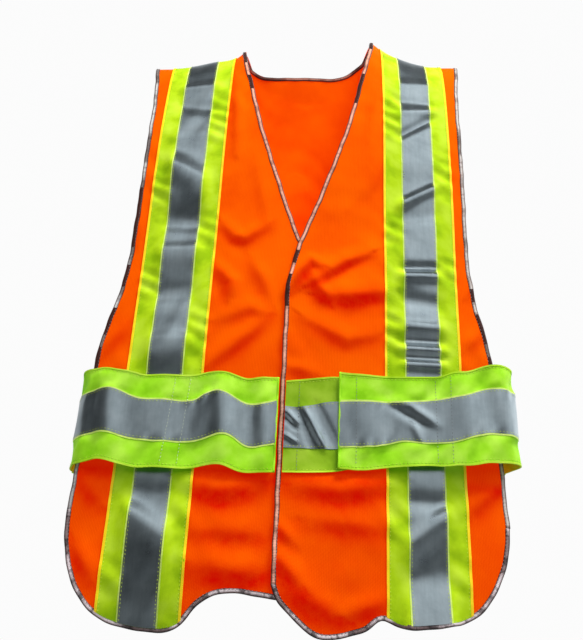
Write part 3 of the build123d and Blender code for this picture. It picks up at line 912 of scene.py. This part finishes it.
BINDING_STEP = 2.6
OWN_BINDING = {"left_front_side_binding": OUTER_BINDING, "left_front_edge_binding": OVER_BINDING,
               "right_front_edge_binding": UNDER_BINDING, "back_neck_binding": NECK_BINDING}


def inset(path, distance, turn):
    """Path moved sideways by distance; turn is +1 to move to the right of its direction."""
    return path + distance * sideways(path, turn)


def binding(panel, label, path, turn):
    """Binding folded over an edge, and the stitches that hold it."""
    name = panel.body + "_" + label
    count = max(int(np.linalg.norm(np.diff(path, axis=0), axis=1).sum() / BINDING_STEP), 8)
    path = even(inset(even(path, count), BINDING_HALF - 0.8, turn), count)
    p, n = panel.line(path, 0.0)
    material = OWN_BINDING.get(name, HEM_BINDING if "hem" in label else SIDE_BINDING)
    settle(tube(name, p, n, BINDING_HALF, 1.6, material), panel.body, "binding", [name])
    q, m = panel.line(even(inset(path, BINDING_HALF - 1.0, turn), count), 1.5)
    settle(stitches(name + "_stitches", [(q, m)], GREY_THREAD), panel.body, "binding")


def front_bindings(panel, side):
    """Side, neck and centre, and hem of one front."""
    neck, centre, near_side, hem = front_edges(side)
    binding(panel, "side_binding", side_line(side, 500), side)
    edge = np.concatenate([neck[:-1], even(centre[:2], 12)[:-1], even(centre[1:], 300)])
    binding(panel, "edge_binding", edge, -side)
    binding(panel, "hem_binding", np.concatenate([near_side[:-1], hem]), side)


def shoulder_seam(side, word):
    """Rolled seam that joins a front to the back along the shoulder, under the tapes."""
    x = side * np.linspace(NECK_X + 1.0, TIP[0] - 1.0, 90)
    ridge_line = np.stack([x, np.zeros(len(x))], axis=1)
    p = BACK_PANEL.at(ridge_line, 0.0)
    n = BACK_PANEL.at(ridge_line, 1.0) - p
    roll = tube("back_" + word + "_shoulder_seam", p, n, 2.6, 0.85, ORANGE, 0.1)
    settle(roll, "back", "orange_mesh", [word + "_shoulder_seam"])


front_bindings(LEFT_PANEL, LEFT)
front_bindings(RIGHT_PANEL, RIGHT)
for side, word in SIDES:
    binding(BACK_PANEL, word + "_side_binding", side_line(side, 500), side)
binding(BACK_PANEL, "hem_binding", spline(both_sides(BACK_HEM), 700), LEFT)
binding(BACK_PANEL, "neck_binding", even(back_neck(160), 300), RIGHT)
for side, word in SIDES:
    shoulder_seam(side, word)


# ================= vertical tapes =================

TAPE_ROWS = 240
TAPE_END_GAP = 3.0          # from the tape's end up to the hem's edge


def tape_grid(side, low, high, hem, columns):
    """Grid of a strip between two sideways offsets from the tape's middle, shoulder to hem."""
    path = spline(hem, 800)
    order = np.argsort(path[:, 0])
    x = side * TAPE_X + np.linspace(low, high, columns)
    bottom = run_of(x, np.interp(x, path[order, 0], path[order, 1]) + TAPE_END_GAP)
    v = np.linspace(0, 1, TAPE_ROWS)[:, None] * bottom[None, :]
    return np.stack([np.broadcast_to(x, v.shape), v], axis=-1)


def vertical_tape(panel, side, hem, prefix=""):
    """Lime tape with silver along its middle, its selvedges and its four rows of stitches."""
    for part, half_width, columns, material, offset, half in (
            ("lime", TAPE_HALF, 25, LIME, 1.3, TAPE_SHEET_HALF),
            ("silver", SILVER_HALF, 13, SILVER, 2.1, 0.25)):
        grid = tape_grid(side, -half_width, half_width, hem, columns)
        name = prefix + "tape_" + part
        panel.sheet(name, grid, material, part + "_tape", [panel.body + "_" + name], offset, half)
    for mark, low, high, material in (("a", -TAPE_HALF - 0.4, -TAPE_HALF + 2.2, SELVEDGE),
                                      ("b", TAPE_HALF - 2.2, TAPE_HALF + 0.4, SELVEDGE),
                                      ("c", -SILVER_HALF - 1.7, -SILVER_HALF - 0.1, PALE_EDGE),
                                      ("d", SILVER_HALF + 0.1, SILVER_HALF + 1.7, PALE_EDGE)):
        panel.edge(prefix + "tape_edge_" + mark, tape_grid(side, low, high, hem, 4), 1.75, 0.3, material)
    lines = []
    for x_at, lift in ((3.4 - TAPE_HALF, 1.7), (TAPE_HALF - 3.4, 1.7), (1.3 - SILVER_HALF, 2.4),
                       (SILVER_HALF - 1.3, 2.4)):
        lines.append((tape_grid(side, x_at, x_at, hem, 1)[:, 0], lift))
    panel.seam(prefix + "tape_stitches", lines, LIME_THREAD)


vertical_tape(LEFT_PANEL, LEFT, LEFT_HEM)
vertical_tape(RIGHT_PANEL, RIGHT, RIGHT_HEM)
vertical_tape(BACK_PANEL, LEFT, BACK_HEM, "left_")
vertical_tape(BACK_PANEL, RIGHT, mirrored(BACK_HEM), "right_")


# ================= the waist =================

# X, then the heights of the belt's top edge, the top and bottom of its silver strip, and its bottom edge
TAB_LINES = {
    RIGHT: [
        (-18, -533, -561, -608, -640), (-34, -534, -566, -612, -641), (-49, -537, -567, -612, -642),
        (-62, -534, -562, -604, -639), (-77, -530, -555, -601, -635), (-93, -531, -556, -606, -637),
        (-108, -535, -565, -610, -640), (-140, -536, -566, -611, -641), (-170, -537, -566, -610, -641),
        (-186, -534, -560, -607, -638), (-202, -532, -556, -604, -635), (-226, -531, -560, -607, -638),
        (-245, -531, -560, -607, -638)],
    LEFT: [
        (51, -525, -560, -609, -634), (80, -527, -559, -608, -634), (100, -528, -559, -605, -631),
        (118, -527, -558, -600, -629), (140, -527, -556, -601, -627), (160, -525, -553, -600, -626),
        (175, -520, -550, -598, -625), (191, -517, -546, -593, -624), (212, -510, -538, -587, -620),
        (233, -506, -536, -586, -618), (250, -507, -536, -586, -617)]}
# the same for the bands sewn across the fronts and the back
LEFT_BAND_LINES = [
    (-14, -537, -565, -612, -639), (7, -534, -566, -612, -639), (29, -531, -561, -612, -638),
    (49, -529, -558, -611, -636), (75, -532, -562, -602, -629), (125, -532, -562, -597, -622),
    (172, -526, -556, -594, -620), (225, -516, -543, -583, -612)]
RIGHT_BAND_LINES = [
    (-225, -538, -566, -604, -630), (-100, -541, -570, -602, -632), (-10, -540, -568, -604, -633)]
BACK_LINES = (-532.0, -560.0, -609.0, -637.0)
# shares of the belt's height at those four lines, from its top edge down
KNOTS = (0.0, 0.28, 0.72, 1.0)
# plan of each tab from its free end to the side, and of a strap from the side back: X and depth
TAB_PLAN = {
    LEFT: [
        (51, 56.5), (80, 57.5), (110, 57), (150, 57), (190, 57), (218, 55), (238, 48), (249, 35),
        (247.5, 21), (242.2, 9), (HINGE_X, HINGE_GAP)],
    RIGHT: [
        (-17.5, 53), (-45, 53.5), (-75, 54), (-110, 53.5), (-150, 54), (-190, 54), (-213, 51), (-229, 43),
        (-237, 29), (-240.5, 14), (-HINGE_X, HINGE_GAP)]}
STRAP_PLAN = [
    (HINGE_X, HINGE_GAP), (238.8, 12), (234.5, 28), (227, 41), (215, 49.5), (196, 52)]
# waves that stand off a tab: distance along it as X, height, half width; and how far they lean, top to bottom
TAB_WAVES = {
    RIGHT: [
        (-76, 4.8, 13), (-200, 4.0, 14), (-45, -1.6, 8), (-112, -1.2, 12), (-30, 1.2, 7), (-217, -1.4, 6)],
    LEFT: [
        (62, -0.5, 8), (84, 0.8, 14), (108, -0.5, 9), (190, 2.0, 15), (212, -0.8, 10), (232, 2.2, 11)]}
WAVE_LEAN = {RIGHT: 8.0, LEFT: 14.0}
# creases: start, end, height, half width
LEFT_TAB_CREASES = [
    ((106, -566), (142, -592), -1.3, 4.4), ((118, -560), (156, -590), 1.5, 5.0),
    ((128, -586), (140, -612), 0.8, 4.2)]
BAND_CREASES = [
    ((13, -568), (36, -612), 3.2, 3.4), ((25, -562), (49, -609), -3.0, 3.6),
    ((6, -571), (23, -614), -2.6, 3.2), ((-9, -569), (5, -584), 1.8, 3.0),
    ((-9, -579), (5, -592), -1.8, 2.6), ((-8, -597), (5, -606), 1.6, 2.6)]
# rows of silver left out beside the side fold, so that an open tab clears the strap
SILVER_STOP = 3
# middle of each tab's hook patch, and half its length
HOOK_MIDDLE = {LEFT: 108.0, RIGHT: -75.0}
HOOK_HALF_LENGTH = 45.0


def heights_at(lines, x):
    """The four heights at X, by smooth curves through the given lines."""
    dense = spline(sorted(lines), 500)
    return [np.interp(x, dense[:, 0], dense[:, k]) for k in range(1, 5)]


def mix_heights(levels, t):
    """Height at share t of the way from the top edge to the bottom edge."""
    z = np.zeros(np.broadcast(levels[0], t).shape)
    for k in range(3):
        share = np.clip((t - KNOTS[k]) / (KNOTS[k + 1] - KNOTS[k]), 0, 1)
        inside = (t >= KNOTS[k]) & (t <= KNOTS[k + 1])
        z = np.where(inside, levels[k] * (1 - share) + levels[k + 1] * share, z)
    return z


def tab_waves(side, x, t):
    """How far the tab stands off its plan, outwards."""
    total = np.zeros_like(x * t)
    for centre, height, width in TAB_WAVES[side]:
        total = total + height * bell((x - centre - (t - 0.5) * WAVE_LEAN[side]) / width)
    if side == LEFT:
        height = BELT_TOP + t * (BELT_BOTTOM - BELT_TOP)
        total = total + sum(crease(x, height, *one) for one in LEFT_TAB_CREASES)
    total = total + 0.5 * np.sin(x / 6.1 + 3.0 * t) * np.sin(t * 7.0 + x / 19.0)
    seam = bell((np.abs(t - 0.5) - 0.25) / 0.07)
    here = np.maximum(0, np.sin(x / 21.0 + 4.0 * t + side))
    total = total + 0.9 * seam * here * np.sin((x + 30.0 * t) / 3.1 + 1.4 * np.sin(x / 14.0))
    wing = smoothstep(0.27, 0.20, t) + smoothstep(0.73, 0.80, t)
    flutter = np.sin((x + 46.0 * t) / 7.5 + 2.0 * np.sin(x / 29.0)) * np.sin(x / 37.0 + 6.0 * t)
    total = total + 2.3 * wing * flutter
    rim = smoothstep(0.12, 0.0, t) + smoothstep(0.88, 1.0, t)
    return total * (1 - 0.35 * rim) + rim * 0.9 * np.sin(x / 10.5 + (t > 0.5) * 2.0)


def tab_grid(side, t_low, t_high, offset, columns, rows):
    """Points and flat coordinates of a grid on a tab; rows run along it from the free end to the side."""
    path = spline(TAB_PLAN[side], rows)
    out = sideways(path, -side)
    t = np.linspace(t_low, t_high, columns)[None, :]
    run = run_along(path)[:, None]
    x_flat = TAB_PLAN[side][0][0] + side * run
    z = mix_heights(heights_at(TAB_LINES[side], path[:, :1]), t)
    near_hinge = smoothstep(30.0, 4.0, run[-1] - run)
    push = offset + tab_waves(side, x_flat, t) * (1 - near_hinge)
    x = path[:, :1] + out[:, :1] * push
    depth = path[:, 1:] + out[:, 1:] * push
    return np.stack([x, -depth, z], axis=-1), np.stack([x_flat + 0 * t, z], axis=-1)


def strap_grid(side, t_low, t_high, offset, columns, rows):
    """Points and flat coordinates of a grid on the strap from the side fold round to the back panel."""
    path = spline(STRAP_PLAN, rows)
    out = sideways(path, 1)
    t = np.linspace(t_low, t_high, columns)[None, :]
    run = run_along(path)[:, None]
    share = smoothstep(0.0, 0.6, run / run[-1])
    start = heights_at(TAB_LINES[side], side * HINGE_X)
    z = mix_heights([s * (1 - share) + b * share for s, b in zip(start, BACK_LINES)], t)
    push = offset + 0.8 * np.sin(run / 12.0 + 2.0 * t) * smoothstep(0, 25, run)
    x = side * (path[:, :1] + out[:, :1] * push)
    y = path[:, 1:] + out[:, 1:] * push
    return np.stack([x, y, z], axis=-1), np.stack([HINGE_X + run + 0 * t, z], axis=-1)


def belt_sheet(name, grid, rows, half, material, body, node, outward):
    """A cut piece of a tab or a strap on the given rows of a grid, which stands for its node."""
    p, uv = grid
    obj = shell(name, p[rows], uv[rows], half, material, outward)
    settle(obj, body, node.split("_")[-1] + "_tape", [node])


def tab_line(side, x_at, lean, lift, t_low=0.0, t_high=1.0):
    """Upright line across a tab at x_at, leaning by lean from bottom to top."""
    p, uv = tab_grid(side, 0.0, 1.0, lift, 60, 400)
    q, _ = tab_grid(side, 0.0, 1.0, lift + 1.0, 60, 400)
    points = []
    normals = []
    for k, t in enumerate(np.linspace(0, 1, 60)):
        if t_low <= t <= t_high:
            row = int(np.argmin(np.abs(uv[:, k, 0] - x_at - lean * (0.5 - t))))
            points.append(p[row, k])
            normals.append(q[row, k] - p[row, k])
    return np.array(points), np.array(normals)


def along_belt(grid_of, side, t, lift, count, rows):
    """Points and normals of a line along a tab or a strap."""
    p, _ = grid_of(side, t, t, lift, 1, count)
    q, _ = grid_of(side, t, t, lift + 1.0, 1, count)
    return p[rows, 0], (q - p)[rows, 0]


def tab_tapes(side, body, outward):
    """A tab's lime, silver and selvedges."""
    lime = tab_grid(side, 0.0, 1.0, 0.0, 31, 150)
    belt_sheet(body + "_lime_sheet", lime, slice(None), 0.55, BELT_LIME, body, body + "_lime", outward)
    silver = tab_grid(side, KNOTS[1], KNOTS[2], 1.0, 17, 150)
    short = slice(None, -SILVER_STOP)
    belt_sheet(body + "_silver_sheet", silver, short, 0.25, SILVER, body, body + "_silver", outward)
    for mark, low, high, material in (("a", 0.0, 0.018, BELT_EDGE), ("b", 0.982, 1.0, BELT_EDGE),
                                      ("c", 0.262, 0.280, PALE_EDGE), ("d", 0.720, 0.738, PALE_EDGE)):
        p, uv = tab_grid(side, low, high, 0.75, 4, 150)
        edge = shell(body + "_edge_" + mark, p[short], uv[short], 0.3, material, outward)
        settle(edge, body, "lime_tape")


def tab_threads(side, body, line_places, thread):
    """A tab's stitches along it and across it, and its rolled end."""
    rows = [along_belt(tab_grid, side, t, lift, 300, slice(None, -6))
            for t, lift in ((0.298, 1.3), (0.702, 1.3), (0.035, 0.8), (0.965, 0.8))]
    settle(stitches(body + "_stitches", rows, LIME_THREAD), body, "lime_tape")
    cross = [tab_line(side, x, lean, 1.35, 0.02, 0.98) for x, lean in line_places]
    settle(stitches(body + "_cross_stitches", cross, thread), body, "lime_tape")
    end, normal = tab_line(side, TAB_PLAN[side][0][0], 0.0, 0.0)
    settle(tube(body + "_end_fold", end, normal, 1.3, 1.25, BELT_LIME, 0.1), body, "lime_tape")


def belt_tab(side, word, line_places, thread):
    """Belt tab, with the hook patch inside its end."""
    body = word + "_tab"
    outward = np.array([side * 0.3, -1.0, 0.0])
    tab_tapes(side, body, outward)
    tab_threads(side, body, line_places, thread)
    hook = tab_grid(side, 0.27, 0.73, -1.5, 15, 150)
    keep = np.abs(hook[1][:, 0, 0] - HOOK_MIDDLE[side]) < HOOK_HALF_LENGTH
    belt_sheet(body + "_hook_patch", hook, keep, 0.7, HOOK, body, body + "_hook", outward)


def belt_strap(side, word):
    """Strap sewn to the back, and the round fold at the side that the tab turns about."""
    outward = np.array([side * 1.0, 0.5, 0.0])
    name = word + "_strap"
    lime = strap_grid(side, 0.0, 1.0, 0.0, 31, 50)
    belt_sheet(name + "_lime_sheet", lime, slice(None), 0.55, BELT_LIME, "back", name + "_lime", outward)
    silver = strap_grid(side, KNOTS[1], KNOTS[2], 1.0, 17, 50)
    short = slice(SILVER_STOP, None)
    belt_sheet(name + "_silver_sheet", silver, short, 0.25, SILVER, "back", name + "_silver", outward)
    rows = [along_belt(strap_grid, side, t, 1.3, 80, slice(5, None)) for t in (0.298, 0.702)]
    settle(stitches(name + "_stitches", rows, LIME_THREAD), "back", "lime_tape")
    p, _ = strap_grid(side, 0.0, 1.0, 0.0, 40, 50)
    q, _ = strap_grid(side, 0.0, 1.0, 1.0, 40, 50)
    axis = np.stack([np.full(40, side * HINGE_X), np.zeros(40), p[0, :, 2]], axis=1)
    radius = SIDE_FOLD_RADIUS
    roll = tube(word + "_side_fold", axis, q[0] - p[0], radius, radius - 0.1, BELT_LIME, 0.0)
    settle(roll, "back", "lime_tape")


belt_tab(LEFT, "left", [(69, 0.0), (156, 0.0), (172, 0.0)], GREY_THREAD)
belt_tab(RIGHT, "right", [(-134, 8.0), (-117, 7.0)], PALE_THREAD)
for side, word in SIDES:
    belt_strap(side, word)


def band_crinkle(x, z):
    """Sharp slanting creases in the part of the left front's band that shows."""
    total = np.maximum(0.8 * sum(crease(x, z, *one) for one in BAND_CREASES), -1.0)
    return total * smoothstep(-640.0, -615.0, z) * smoothstep(-532.0, -555.0, z) * smoothstep(58.0, 48.0, x)


def on_panel(x, z):
    """Grid of X and distance below the shoulder line from X and height."""
    x = x + 0 * z
    return np.stack([x, run_of(x, z)], axis=-1)


def band_grid(lines, x_low, x_high, t_low, t_high, rows):
    """Grid on the band across a front, between two shares of its height."""
    x = np.linspace(x_low, x_high, max(int(abs(x_high - x_low) / 2.4), 4))[None, :]
    t = np.linspace(t_low, t_high, rows)[:, None]
    return on_panel(x, mix_heights(heights_at(lines, x), t))


def front_band(panel, lines, x_low, x_high, extra):
    """Band sewn across a front, under its belt tab."""
    node = panel.body + "_waist_"
    # the front band's lime is painted shade, a darker copy of the belt lime
    panel.sheet("waist_lime_band", band_grid(lines, x_low, x_high, 0.0, 1.0, 44), SHADED_BAND_LIME, "lime_tape",
                [node + "lime"], 3.0, 0.35, extra)
    panel.sheet("waist_silver_band", band_grid(lines, x_low, x_high, KNOTS[1], KNOTS[2], 34), SILVER,
                "silver_tape", [node + "silver"], 3.8, 0.25, extra)
    for mark, low, high in (("a", 0.0, 0.018), ("b", 0.982, 1.0)):
        grid = band_grid(lines, x_low, x_high, low, high, 4)
        panel.edge("waist_edge_" + mark, grid, 3.4, 0.25, BELT_EDGE, extra)
    rows = [(band_grid(lines, x_low, x_high, t, t, 1)[0], lift)
            for t, lift in ((0.30, 4.1), (0.70, 4.1), (0.035, 3.4), (0.965, 3.4))]
    panel.seam("waist_stitches", rows, LIME_THREAD, extra)


def back_grid(z_high, z_low, rows):
    """Grid on the band across the back, between two heights, with a slow wave."""
    x = np.linspace(-221.0, 221.0, 180)[None, :]
    return on_panel(x, np.linspace(z_high, z_low, rows)[:, None] + 1.6 * np.sin(x / 38.0 + 1.0))


def back_band():
    """Band sewn across the back."""
    top, silver_top, silver_bottom, bottom = BACK_LINES
    BACK_PANEL.sheet("waist_lime_band", back_grid(top, bottom, 40), BELT_LIME, "lime_tape",
                     ["back_waist_lime"], 3.0, 0.45)
    BACK_PANEL.sheet("waist_silver_band", back_grid(silver_top, silver_bottom, 24), SILVER, "silver_tape",
                     ["back_waist_silver"], 3.9, 0.25)
    BACK_PANEL.edge("waist_edge_a", back_grid(top + 0.4, top - 1.8, 4), 3.5, 0.25, BELT_EDGE)
    BACK_PANEL.edge("waist_edge_b", back_grid(bottom + 1.8, bottom - 0.4, 4), 3.5, 0.25, BELT_EDGE)
    rows = [(back_grid(z, z, 1)[0], lift) for z, lift in ((silver_top - 2, 4.2), (silver_bottom + 2, 4.2),
                                                          (top - 3.5, 3.5), (bottom + 3.5, 3.5))]
    BACK_PANEL.seam("waist_stitches", rows, LIME_THREAD)


def closure_patch(panel, part, number, offset, material):
    """Hook or loop patch on the centre overlap; all three on a front stand for one node."""
    x, z = np.meshgrid(np.linspace(-5.0, 13.0, 6), CLOSURE_HEIGHTS[number] + np.linspace(20.0, -20.0, 13))
    name = "closure_" + part
    nodes = [panel.body + "_" + name] if number == 0 else []
    panel.sheet("%s_%d" % (name, number), on_panel(x, z), material, part + "_tape", nodes, offset, 0.5)


CLOSURE_HEIGHTS = (-405.0, -480.0, -690.0)
front_band(LEFT_PANEL, LEFT_BAND_LINES, -8.5, 220.0, band_crinkle)
front_band(RIGHT_PANEL, RIGHT_BAND_LINES, -220.0, -20.0, None)
cross_line = on_panel(np.full(40, 6.5), np.linspace(BELT_TOP - 2, BELT_BOTTOM + 2, 40))
LEFT_PANEL.seam("cross_stitches", [(cross_line, 4.2)], GREY_THREAD, band_crinkle)
for panel, lines, x_low, x_high in ((LEFT_PANEL, LEFT_BAND_LINES, 63.0, 213.0),
                                    (RIGHT_PANEL, RIGHT_BAND_LINES, -180.0, -30.0)):
    panel.sheet("waist_loop_patch", band_grid(lines, x_low, x_high, 0.30, 0.70, 18), LOOP, "loop_tape",
                [panel.body + "_waist_loop"], 4.7, 0.45)
for number in range(len(CLOSURE_HEIGHTS)):
    closure_patch(LEFT_PANEL, "hook", number, -1.1, HOOK)
    closure_patch(RIGHT_PANEL, "loop", number, 1.1, LOOP)
back_band()


# ================= stage, light and camera =================

def stage_floor():
    """Pale floor below the vest, kept out of reflections and bounced light."""
    bpy.ops.mesh.primitive_plane_add(size=80.0, location=(0, 0, -1.45))
    floor = bpy.context.object
    floor.name = "floor"
    floor.visible_glossy = False
    floor.visible_diffuse = False
    m = Maker("pale_floor")
    place_on_floor = m.add("ShaderNodeTexCoord").outputs["Object"]
    tone = m.ramp(m.noise(place_on_floor, 3.0), [(0.3, grey(0.80)), (0.7, grey(0.86))])
    floor.data.materials.append(m.finish(tone, 0.8, 0.42, WHITE, shine=0.1))


def studio_light(tree):
    """The light that comes from each direction: brighter above and to the right, with a soft glow behind."""
    direction = tree.split(tree.add("ShaderNodeTexCoord").outputs["Generated"])

    def levels(component, stops):
        """Grey level looked up from one component of the direction, which runs from -1 to 1."""
        tinted = [(at * 0.5 + 0.5, (level * 0.97, level, level * 1.01)) for at, level in stops]
        return tree.ramp(tree.math("MULTIPLY_ADD", direction[component], 0.5, 0.5), tinted)

    upward = levels("Z", ((-0.70, 0.30), (-0.20, 0.07), (0.02, 0.02), (0.11, 0.07), (0.29, 0.68),
                          (0.62, 0.79), (0.76, 1.44), (0.83, 0.8), (0.885, 0.02)))
    sideways = levels("X", ((-0.60, 0.10), (-0.40, 0.28), (-0.24, 0.90), (0.10, 1.0), (0.45, 1.35)))
    behind = levels("Y", ((0.08, 0.0), (0.30, 0.5)))
    below = levels("Z", ((-0.45, 0.50), (-0.20, 0.40), (-0.05, 0.0)))
    aside = levels("X", ((-0.62, 1.0), (-0.50, 0.0), (0.50, 0.0), (0.62, 1.0)))
    main = tree.mix("ADD", 1.0, tree.mix("MULTIPLY", 1.0, upward, sideways), behind)
    return tree.mix("ADD", 1.0, main, tree.mix("MULTIPLY", 1.0, below, aside))


def studio_world():
    """Pale backdrop for the camera, and the studio's light for everything else."""
    world = bpy.data.worlds.new("studio")
    bpy.context.scene.world = world
    world.use_nodes = True
    tree = Nodes(world.node_tree)
    sky = tree.nodes["Background"]
    tree.feed(sky.inputs["Color"], studio_light(tree))
    backdrop = tree.add("ShaderNodeBackground", Color=(0.97, 0.97, 0.97, 1))
    mix = tree.add("ShaderNodeMixShader")
    tree.feed(mix.inputs["Fac"], tree.add("ShaderNodeLightPath").outputs["Is Camera Ray"])
    tree.feed(mix.inputs[1], sky.outputs[0])
    tree.feed(mix.inputs[2], backdrop.outputs[0])
    tree.feed(tree.nodes["World Output"].inputs["Surface"], mix.outputs[0])


def area_light(name, place_at, target_height, size, power):
    """Soft lamp turned to the vest, kept out of mirror reflections as through a polarising filter."""
    data = bpy.data.lights.new(name, "AREA")
    data.energy = power
    data.size = size
    lamp = bpy.data.objects.new(name, data)
    bpy.context.scene.collection.objects.link(lamp)
    lamp.location = place_at
    lamp.visible_glossy = False
    way = Vector((0, 0, target_height)) - Vector(place_at)
    lamp.rotation_euler = way.to_track_quat("-Z", "Y").to_euler()


def camera():
    """The photograph's view: close, low and looking up, with a slight roll."""
    tilt = math.radians(25.0)
    roll = math.radians(2.7)
    distance = 0.909
    target = Vector((-0.006, -0.046, -0.4592))
    forward = Vector((0, math.cos(tilt), math.sin(tilt)))
    right = Vector((1, 0, 0))
    up = right.cross(forward)
    right_rolled = math.cos(roll) * right + math.sin(roll) * up
    up_rolled = -math.sin(roll) * right + math.cos(roll) * up
    data = bpy.data.cameras.new("camera")
    data.lens = 44.2
    data.sensor_width = 36.0
    cam = bpy.data.objects.new("camera", data)
    bpy.context.scene.collection.objects.link(cam)
    turn = Matrix((right_rolled, up_rolled, -forward)).transposed()
    cam.matrix_world = Matrix.Translation(target - forward * distance) @ turn.to_4x4()
    bpy.context.scene.camera = cam


stage_floor()
studio_world()
# name, place, height of the point it is turned to, size, power
for lamp in (("key", (0.75, -0.95, 1.75), -0.4, 0.9, 90.0),
             ("fill", (-2.1, -1.3, 0.5), -0.45, 1.4, 24.0),
             ("back_key", (-0.8, 1.9, 0.7), -0.4, 1.2, 34.0),
             ("back_fill", (1.5, 1.4, 0.2), -0.45, 1.2, 12.0)):
    area_light(*lamp)
camera()
bpy.context.scene.view_settings.view_transform = "Standard"
